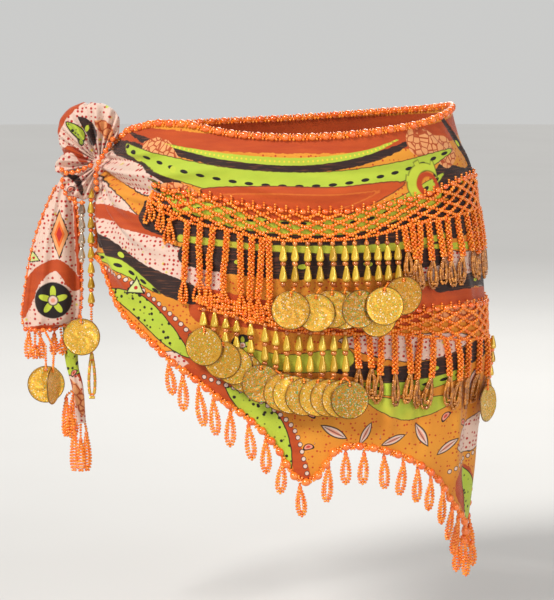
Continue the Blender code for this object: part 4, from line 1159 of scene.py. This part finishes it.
FOOT = {row[0]: Line(row[4]) for row in FRINGES}
fringe("fringe_upper_left", (-0.283, -0.258, -0.230, -0.201, -0.176, -0.150, -0.122, -0.097, -0.074, -0.054, -0.042), NET_UPPER,
       FOOT["fringe_upper_left"], False, 22)
fringe("fringe_upper_right", (0.222, 0.238, 0.256, 0.275, 0.297, 0.321, 0.349, 0.378, 0.408, 0.438, 0.466, 0.492), NET_UPPER,
       FOOT["fringe_upper_right"], True, 25)
fringe("fringe_upper_back", tuple(np.arange(0.515, 1.262, 0.0375)), NET_UPPER, FOOT["fringe_upper_back"], True, 25, 2)
fringe("fringe_lower_right", (0.122, 0.146, 0.170, 0.195, 0.221, 0.247, 0.273, 0.300, 0.330, 0.362, 0.394, 0.426, 0.458, 0.490), NET_LOWER,
       FOOT["fringe_lower_right"], True, 28)
fringe("fringe_lower_back", tuple(np.arange(0.515, 1.09, 0.0375)), NET_LOWER, FOOT["fringe_lower_back"], True, 27, 2)


# ------------------------------------------------------------------ strung drops and coins
FEET = []


def strung(name, rows, table, foot_of):
    heap, low = Heap(name), Line(table, 2)
    for i, (t, *tears) in enumerate(rows):
        end = foot_of(i, t)
        zs = np.arange(float(low(t)) - 1, end, -2.2)
        lift = lambda z: float(skin(np.array(t), np.array(z))) + 3.2
        clear = [z for z in zs if not any(b - 1 < z < a + 1 for a, b in tears)]
        heap.put(SEED, np.array([place(t, z, lift(z)) for z in clear]).reshape(-1, 3), (0, 0, 1), 1.15, 0)
        for a, b in tears:
            m = (a + b) / 2
            heap.put(DROP, place(t, m, lift(m) + 0.4), (0, 0, 1), (4.2, 4.2, (a - b) / 2 + 0.5), 1)
            heap.put(PEARL, place(t, b - 2.6, lift(b) + 0.3), size=(2.8, 2.8, 2.4), mat=2)
        heap.put(PEARL, place(t, tears[0][0] + 2.6, lift(tears[0][0])), size=2.3, mat=2)
        FEET.append(np.asarray(place(t, end, lift(end))).reshape(3))
    heap.make(name + "_strung", [SEEDS, TEARS, AMBER], [name], "gold_drops")


UPPER_T = (-0.014, 0.008, 0.032, 0.055, 0.079, 0.102, 0.121, 0.144, 0.165, 0.184, 0.204)
strung("drops_upper", [(t, (-96, -108.5), (-113, -126.5)) for t in UPPER_T], NET_UPPER, lambda i, t: -133 + (4 if i > 8 else 0))
strung("drops_lower", [(-0.161, (-155, -166)), (-0.140, (-155, -167)), (-0.119, (-160, -168), (-172, -182)),
                       (-0.099, (-162, -171), (-176, -188)), (-0.073, (-165, -174), (-178, -190)), (-0.047, (-168, -180), (-184, -197)),
                       (-0.027, (-171, -183), (-188, -200))]
       + [(t, (-175, -188), (-193, -207)) for t in (-0.007, 0.015, 0.036, 0.058, 0.079, 0.100)],
       NET_LOWER, lambda i, t: (-168, -172, -186, -193, -196, -203, -206)[i] if i < 7 else -212)


def disc(name, number, centre, facing, seed):
    """A pressed disc with a rolled rim, a hanging hole and a slightly dished, hammered face."""
    f = Vector(facing).normalized()
    side = Vector((0, 0, 1)).cross(f).normalized()
    up = f.cross(side).normalized()
    r = np.concatenate([np.linspace(0, 15.6, 11)[1:], [16.1, 16.6, 17.0]])
    seg, verts = 52, []
    for level in (1, -1):
        for q in r:
            a = np.arange(seg) * 2 * math.pi / seg
            h = 0.30 + 0.25 * math.exp(-((q - 16.3) / 0.5) ** 2) - 0.10 * (q > 16.8)
            bow = 0.55 * (q / 17) ** 2 * np.cos(2 * a + seed) + 0.12 * np.sin(5 * a + q * 0.6 + seed)
            verts.append(np.stack([q * np.cos(a), q * np.sin(a), level * h + bow * min(1, q / 6)], -1))
    n = len(r)
    verts = np.concatenate(verts + [np.array([[0, 0, 0.3], [0, 0, -0.3]])])
    hole = np.array([0.0, 13.6])
    away = verts[:, :2] - hole                       # open the ring of faces round the hanging hole
    dist = np.hypot(*away.T)
    quads, tris, gone = [], [], {}
    for level in (0, 1):
        base = level * n * seg
        for j in range(n - 1):
            for k in range(seg):
                q = (base + j * seg + k, base + j * seg + (k + 1) % seg, base + (j + 1) * seg + (k + 1) % seg, base + (j + 1) * seg + k)
                if dist[list(q)].mean() < 1.55:
                    if not level:
                        for a, b in zip(q, q[1:] + q[:1]):
                            gone.setdefault((min(a, b), max(a, b)), []).append((a, b))
                    continue
                quads.append(q if level else q[::-1])
        for k in range(seg):
            tri = (2 * n * seg + level, base + k, base + (k + 1) % seg)
            tris.append(tri if not level else tri[::-1])
    for k in range(seg):
        a, b = (n - 1) * seg + k, (n - 1) * seg + (k + 1) % seg
        quads.append((b, a, a + n * seg, b + n * seg))
    for pair in gone.values():
        if len(pair) == 1:                           # the hole's own wall, its edge drawn onto a circle
            a, b = pair[0]
            quads.append((b, a, a + n * seg, b + n * seg))
            for i in (a, b, a + n * seg, b + n * seg):
                away_i = verts[i, :2] - hole
                verts[i, :2] = hole + away_i / np.hypot(*away_i) * 1.5
    basis = np.array([side, up, f])
    P = verts @ basis + np.array(centre)
    mesh = mesh_of(name, P, np.array(quads), np.array(tris), smooth=False)
    tone = mesh.attributes.new("tone", "FLOAT", "POINT")
    tone.data.foreach_set("value", np.full(len(P), (0.15, 0.95, 0.35, 0.62, 0.25, 0.05, 0.45)[int(seed * 10) % 7], dtype=np.float32))
    rim = mesh.attributes.new("rim", "FLOAT", "POINT")
    rim.data.foreach_set("value", (np.hypot(verts[:, 0], verts[:, 1]) / 17.0).astype(np.float32))
    piece(name + "_foil", mesh, [COIN_FOIL], [name])
    return np.array(centre) + np.array(up) * 13.6


def middle(node):
    lo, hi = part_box(node)
    return tuple((a + b) / 2 * 1000 for a, b in zip(lo, hi))


threads = {"upper": Heap(), "lower": Heap()}
for i, (name, x, z, turn, tip, clear) in enumerate(COINS):
    a, b = math.radians(turn), math.radians(tip)
    top = disc(name, i, middle(name), (math.sin(a) * math.cos(b), -math.cos(a) * math.cos(b), math.sin(b)), i * 1.7)
    group = threads["upper" if "upper" in name else "lower"]
    foot = min(FEET, key=lambda q: abs(q[0] - top[0]) + 0.5 * abs(q[2] - top[2] - 6))
    string(group, np.array([foot, top + [0, -1.3, 2.0], top + [0, -0.6, -1.6]]), 1.15, 0)
for i, (name, x, y, z, turn) in enumerate(FREE_COINS):
    a = math.radians(turn)
    top = disc(name, i, middle(name), (math.sin(a), -math.cos(a), 0), i * 2.1)
    string(threads["lower"], np.array([top + [0, -0.5, 5.5], top + [0, -1.2, 1.0], top + [0, -0.5, -1.4]]), 1.15, 0)
    if name == "coin_side":
        z = np.array([-200.0, -214.0])
        held = place(0.487, z, skin(np.array(0.487), z) + 5.0)
        string(threads["lower"], np.array([held[0], held[1], top + [0, -0.5, 5.5]]), 1.2, 0)
for key, heap in threads.items():
    heap.make("coin_threads_" + key, [SEEDS], [], "orange_beads")


# ------------------------------------------------------------------ the knot
PINCH = np.array([-172.0, -21.0, -29.0])
BOW = (   # loops of cloth drawn into the pinch: the directions they fan over, their reach, how far they puff
    # name, a0, a1, reach at even steps, y at the rim, puff, folds, seed, cloth along and across before tying
    ("knot_lobe_top", 92, 170, (46, 58, 57, 53, 47, 40, 32), 6, 12.0, 6, 3, 115, 75),
    ("knot_lobe_front", 56, 108, (30, 44, 50, 55, 56, 50), -4, 8.5, 4, 5, 100, 50),
    ("knot_lobe_side", 158, 200, (28, 36, 40, 40, 34), -3, 8.0, 3, 8, 75, 40),
    ("knot_loop_low", 196, 256, (34, 38, 39, 38, 36, 30), -3, 7.0, 5, 13, 75, 55),
)


def bow_loop(name, a0, a1, reach, y_rim, puffed, count, seed, along, across):
    """A loop of the bow: out from the pinch, over its rim and back behind, in folds that carry its full width."""
    rows, cols = 54, 72
    v = np.linspace(0.0, 2.0, rows)[:, None]
    w = np.linspace(0.0, 1.0, cols)[None]
    a = np.radians(a0 + (a1 - a0) * w)
    R = np.interp(w, np.linspace(0, 1, len(reach)), reach)
    R = R * (1 + 0.02 * np.sin(9 * w + seed))
    out = 0.10 + 0.90 * np.sin(math.pi * v / 2) ** 0.80
    side = np.sqrt(np.clip(1 - (2 * w - 1) ** 2, 0, 1)) ** 0.75
    chord = out * np.mean(reach) * math.radians(a1 - a0)
    deep = np.sqrt(np.maximum(across ** 2 - chord ** 2, 0)) / (4 * count)
    phase = 2 * math.pi * (count * w + 0.22 * np.sin(5.1 * w + seed) + 0.10 * np.sin(11 * w + 2 * seed))
    fold = np.cos(phase + 0.5 * np.sin(3 * out + seed)) * side ** 0.5
    front = np.where(v <= 1, 1.0, -0.8)
    arch = np.abs(np.sin(math.pi * v)) ** 0.75
    dent = 1.6 * np.sin(5.0 * out + 7.0 * w + seed) * side * arch
    y = y_rim * out ** 1.3 - front * puffed * side * arch - deep * fold - dent
    x = PINCH[0] + R * out * np.cos(a)
    z = PINCH[2] + R * out * np.sin(a)
    P = np.stack(np.broadcast_arrays(x, PINCH[1] + y, z), -1).reshape(-1, 3)
    mesh = mesh_of(name, P, grid_quads(rows, cols))
    paint(mesh, P[:, 0], P[:, 2], KNOT_RIBBONS, KNOT_FIGURES)
    ob = piece(name + "_cloth", mesh, [CHIFFON], [name])
    wall(ob, 0.5)


for row in BOW:
    bow_loop(*row)

# the wrapped middle: cloth drawn tight round the pinch
rows, cols = 30, 60
V, A = np.meshgrid(np.linspace(-1, 1, rows), np.linspace(0, 2 * math.pi, cols), indexing="ij")
ring = 1 - 0.55 * np.abs(V) ** 2.4
crimp = 0.9 * np.cos(9 * A + 2.2 * V) + 0.6 * np.cos(5 * A - 1.2)
P = np.stack([PINCH[0] - 1.5 + (8.6 + crimp * 0.6) * ring * np.cos(A), PINCH[1] + 5 + (9.5 + crimp * 0.6) * ring * np.sin(A), PINCH[2] - 2 + 14.0 * V], -1).reshape(-1, 3)
mesh = mesh_of("knot_core", P, grid_quads(rows, cols))
paint(mesh, P[:, 0], P[:, 2], KNOT_RIBBONS, KNOT_FIGURES)
ob = piece("knot_core_cloth", mesh, [CHIFFON], ["knot_core"])
wall(ob, 0.6)


# ------------------------------------------------------------------ the hanging ends
def tail_point(u, z):
    rows = sorted(TAIL)
    left, right, back, bulge = (Line(rows, c)(z) for c in (1, 2, 3, 4))
    turn = math.radians(76)
    mid, half = (left + right) / 2, (right - left) / 2
    depth = np.clip((-44 - z) / 40, 0.2, 1.0)
    y = back - bulge * np.cos(turn * u) - 0.10 * bulge * np.sin(3.2 * math.pi * u + z * 0.012)
    y = y - depth * (1.6 * np.exp(-((u + 0.45 + 0.0012 * z) / 0.13) ** 2) + 2.0 * np.exp(-((u - 0.22 - 0.0010 * z) / 0.16) ** 2)
                     - 1.4 * np.exp(-((u - 0.66) / 0.12) ** 2) + 1.0 * np.exp(-((u + 0.78) / 0.10) ** 2))
    return np.stack([mid + half * np.sin(turn * u) / math.sin(turn), y, z], -1)


rows, cols = 96, 64
U, Z = np.meshgrid(np.linspace(-1, 1, cols), np.linspace(-181, -44, rows))
P = tail_point(U, Z).reshape(-1, 3)
mesh = mesh_of("tail_wide", P, grid_quads(rows, cols))
paint(mesh, P[:, 0], P[:, 2], TAIL_RIBBONS, TAIL_FIGURES)
ob = piece("tail_wide_cloth", mesh, [CHIFFON], ["tail_wide"])
wall(ob, 0.6)

rows, cols = 80, 60
table = sorted(TAIL_NARROW)
cx, cy, rx, ry, tn = (Line(table, c) for c in range(1, 6))
Z, A = np.meshgrid(np.linspace(-268, -128, rows), np.linspace(0, 2 * math.pi, cols, endpoint=False), indexing="ij")
swell = 1 + 0.16 * np.sin(3 * A + Z * 0.05) + 0.10 * np.sin(5 * A - Z * 0.08)
p, q, tw = rx(Z) * np.cos(A) * swell, ry(Z) * np.sin(A) * swell, tn(Z)
P = np.stack([cx(Z) + p * np.cos(tw) - q * np.sin(tw), cy(Z) + (p * np.sin(tw) + q * np.cos(tw)) * 0.8, Z], -1).reshape(-1, 3)
i = np.arange(rows - 1)[:, None] * cols + np.arange(cols)[None]
j = np.arange(rows - 1)[:, None] * cols + (np.arange(cols)[None] + 1) % cols
pts = np.concatenate([P, [P[:cols].mean(0), P[-cols:].mean(0)]])
k = np.arange(cols)
tris = np.concatenate([np.stack([np.full(cols, rows * cols), (k + 1) % cols, k], -1),
                       np.stack([np.full(cols, rows * cols + 1), (rows - 1) * cols + k, (rows - 1) * cols + (k + 1) % cols], -1)])
mesh = mesh_of("tail_narrow", pts, np.stack([i, j, j + cols, i + cols], -1).reshape(-1, 4), tris)
paint(mesh, pts[:, 0], pts[:, 2], NARROW_RIBBONS, NARROW_FIGURES)
ob = piece("tail_narrow_cloth", mesh, [CHIFFON], ["tail_narrow"])

# bead edges of the knot and of the ends
heap = Heap()


def chain(path, pitch=7.5, pearl=2.1):
    string(heap, path, 1.15)
    at, d = resample(path, pitch)
    heap.put(PEARL, at + np.array([0, -1.0, 0]), d, pearl, 1)


chain(np.array([(-158, -34, -4), (-162, -35, -11), (-168, -36, -20), (-173, -37, -29), (-175, -37, -40), (-174, -35, -54)], float), 6.0, 2.6)
chain(np.array([(-208, -28, -33), (-202, -33, -37), (-193, -36, -36), (-184, -35, -32), (-177, -34, -29)], float), 6.5, 2.4)
chain(np.array([(-206, -27, -41), (-206, -28, -50), (-202, -29, -58), (-194, -30, -64), (-185, -30, -64)], float), 6.5, 2.2)
for u in (-1.0, 1.0):
    z = np.linspace(-50, -180, 40)
    chain(tail_point(np.full(40, u), z) + np.array([0.6 * u, -0.5, 0]), 8.5, 1.9)
u = np.linspace(-1, 1, 40)
chain(tail_point(u, np.full(40, -181.5)) + np.array([0, -0.5, 0]), 7.5, 2.3)
heap.make("knot_edge_strung", [SEEDS, PEARLS], [], "orange_beads")

# strings of drops that hang from the knot
for name, x0, z0, x1, z1, y0, y1 in STRANDS:
    heap = Heap()
    m = {"strand_silver": 0, "strand_gold": 1, "strand_orange": 2, "strand_loop": 1}[name]
    big = 10.5 if name != "strand_orange" else 5.6
    if name == "strand_loop":
        x, dz = loop_path(0, 3.6, z0 - z1, 0)
        path = np.stack([x0 + x, np.full(len(x), float(y0)), z0 + dz], -1)
        at, d = resample(path, 6.4)
        heap.put(BUGLE, at, d, (1.5, 1.5, 2.7), 1)
        heap.put(SEED, (at[1:] + at[:-1]) / 2, (0, 1, 0), 1.5, 3)
    else:
        z = z0
        while z - big > z1 - 2:
            u = (z - z0) / (z1 - z0)
            at = (x0 + (x1 - x0) * u, y0 + (y1 - y0) * u, z - big / 2)
            if name == "strand_orange":
                heap.put(PEARL, at, size=3.1, mat=m)
                heap.put(SEED, (at[0], at[1], z), (0, 0, 1), 1.3, 3)
                z -= big + 0.6
            else:
                heap.put(DROP, at, (0, 0, 1), (3.9, 3.9, big / 2), m)
                heap.put(PEARL, (at[0], at[1], z - big - 1.6), size=(2.4, 2.4, 1.9), mat=2 if name == "strand_gold" else 0)
                z -= big + 3.2
    if name == "strand_gold":
        string(heap, np.array([(x1, y1, z + 1.5), (-181.0, -25.0, -203.0)], float), 1.4, 3)
    heap.make(name + "_strung", [SILVER, TEARS, PEARLS, SEEDS], [name], "gold_drops")


for name, x, y, z0, z1, rx, ry in TASSELS:
    heap = Heap()
    tied = {"tassel_narrow_1": (-198.0, y - 0.5, z0 + 6.0)}.get(name)
    shift, spread = (2.4, 0.7) if tied else (0.0, 1.0)
    for k in range(3 if rx > 5 else 2):
        u = (-0.9, 0.8, 0.0)[k] * spread
        drop = (0.0, 5.0, 11.0)[k]
        here = (x + shift + rx * u, y - 1.8 * (k == 2), z0 - drop)
        free_loop(heap, (here[0], here[1], here[2] - 3), 4.0, z0 - z1 - 6 - drop, 0.8 * u, 0.35 * u)
        string(heap, np.array([here, tied or (x + rx * u * 0.6, y, z0 + 6)], float), 1.45)
    for coin, owner, u in (("coin_tail_2", "tassel_tail_wide", -0.25), ("coin_tail_3", "tassel_tail_mid", 0.1)):
        if owner == name:                            # a string from the tail's foot to the coin's hole
            hole = np.array(middle(coin)) + [0, -0.8, 13.0]
            foot = np.asarray(tail_point(np.array(u), np.array(-180.0))).reshape(3)
            string(heap, np.array([foot + [0, -1.5, 0], (hole[0], (hole[1] + foot[1]) / 2 - 1.5, -196.0), hole + [0, 0, 1.5], hole + [0, 0, -1.0]]), 1.3)
    heap.make(name + "_strung", [SEEDS, PEARLS], [name], "orange_beads")


# ------------------------------------------------------------------ stage and light
def stage_mesh():
    """A pale floor, wide enough for every side."""
    a = np.arange(96) * 2 * math.pi / 96
    rings = [0.5, 1.5, 4.0, 9.0]
    v = np.array([(r * math.cos(k), r * math.sin(k), -0.46) for r in rings for k in a] + [(0, 0, -0.46)]) * 1000
    q = [(i * 96 + k, i * 96 + (k + 1) % 96, (i + 1) * 96 + (k + 1) % 96, (i + 1) * 96 + k)[::-1] for i in range(3) for k in range(96)]
    t = [(384, k, (k + 1) % 96) for k in range(96)]
    return mesh_of("stage", v, np.array(q), np.array(t))


paper = Tree("pale_paper")
pos = paper.node("ShaderNodeTexCoord").outputs["Object"]
paper.bump(paper.noise(pos, 220.0, 3.0), 0.05, 0.001)
paper.out(paper.mix(paper.noise(pos, 3.0, 2.0) * 0.4, (0.80, 0.79, 0.77), (0.86, 0.85, 0.83)), Roughness=0.85)
floor = bpy.data.objects.new("stage", stage_mesh())
bpy.context.scene.collection.objects.link(floor)
floor.data.materials.append(paper.mat)


def area_light(name, at, size, power, aim=(0, 0, -0.17)):
    light = bpy.data.lights.new(name, "AREA")
    light.shape, light.size, light.energy = "SQUARE", size, power
    ob = bpy.data.objects.new(name, light)
    bpy.context.scene.collection.objects.link(ob)
    ob.location = at
    ob.rotation_euler = (Vector(aim) - Vector(at)).to_track_quat("-Z", "Y").to_euler()


sun = bpy.data.objects.new("key", bpy.data.lights.new("key", "SUN"))
sun.data.energy, sun.data.angle = 3.0, math.radians(18)
sun.rotation_euler = Vector((1.0, 1.05, -1.25)).to_track_quat("-Z", "Y").to_euler()
bpy.context.scene.collection.objects.link(sun)
area_light("fill", (1.7, -1.5, 0.4), 1.2, 14)
area_light("front", (0.1, -2.6, -0.1), 0.6, 8)
area_light("back", (0.4, 1.7, 1.4), 1.4, 30)
world = bpy.data.worlds.new("studio")
world.use_nodes = True
wt = world.node_tree
soft, seen = wt.nodes["Background"], wt.nodes.new("ShaderNodeBackground")
soft.inputs[0].default_value, soft.inputs[1].default_value = (0.80, 0.82, 0.85, 1), 0.35
seen.inputs[0].default_value, seen.inputs[1].default_value = (0.60, 0.60, 0.59, 1), 1.0
path_in, blend = wt.nodes.new("ShaderNodeLightPath"), wt.nodes.new("ShaderNodeMixShader")
wt.links.new(path_in.outputs["Is Camera Ray"], blend.inputs[0])
wt.links.new(soft.outputs[0], blend.inputs[1])
wt.links.new(seen.outputs[0], blend.inputs[2])
wt.links.new(blend.outputs[0], wt.nodes["World Output"].inputs[0])
bpy.context.scene.world = world
bpy.context.scene.view_settings.view_transform = "Standard"
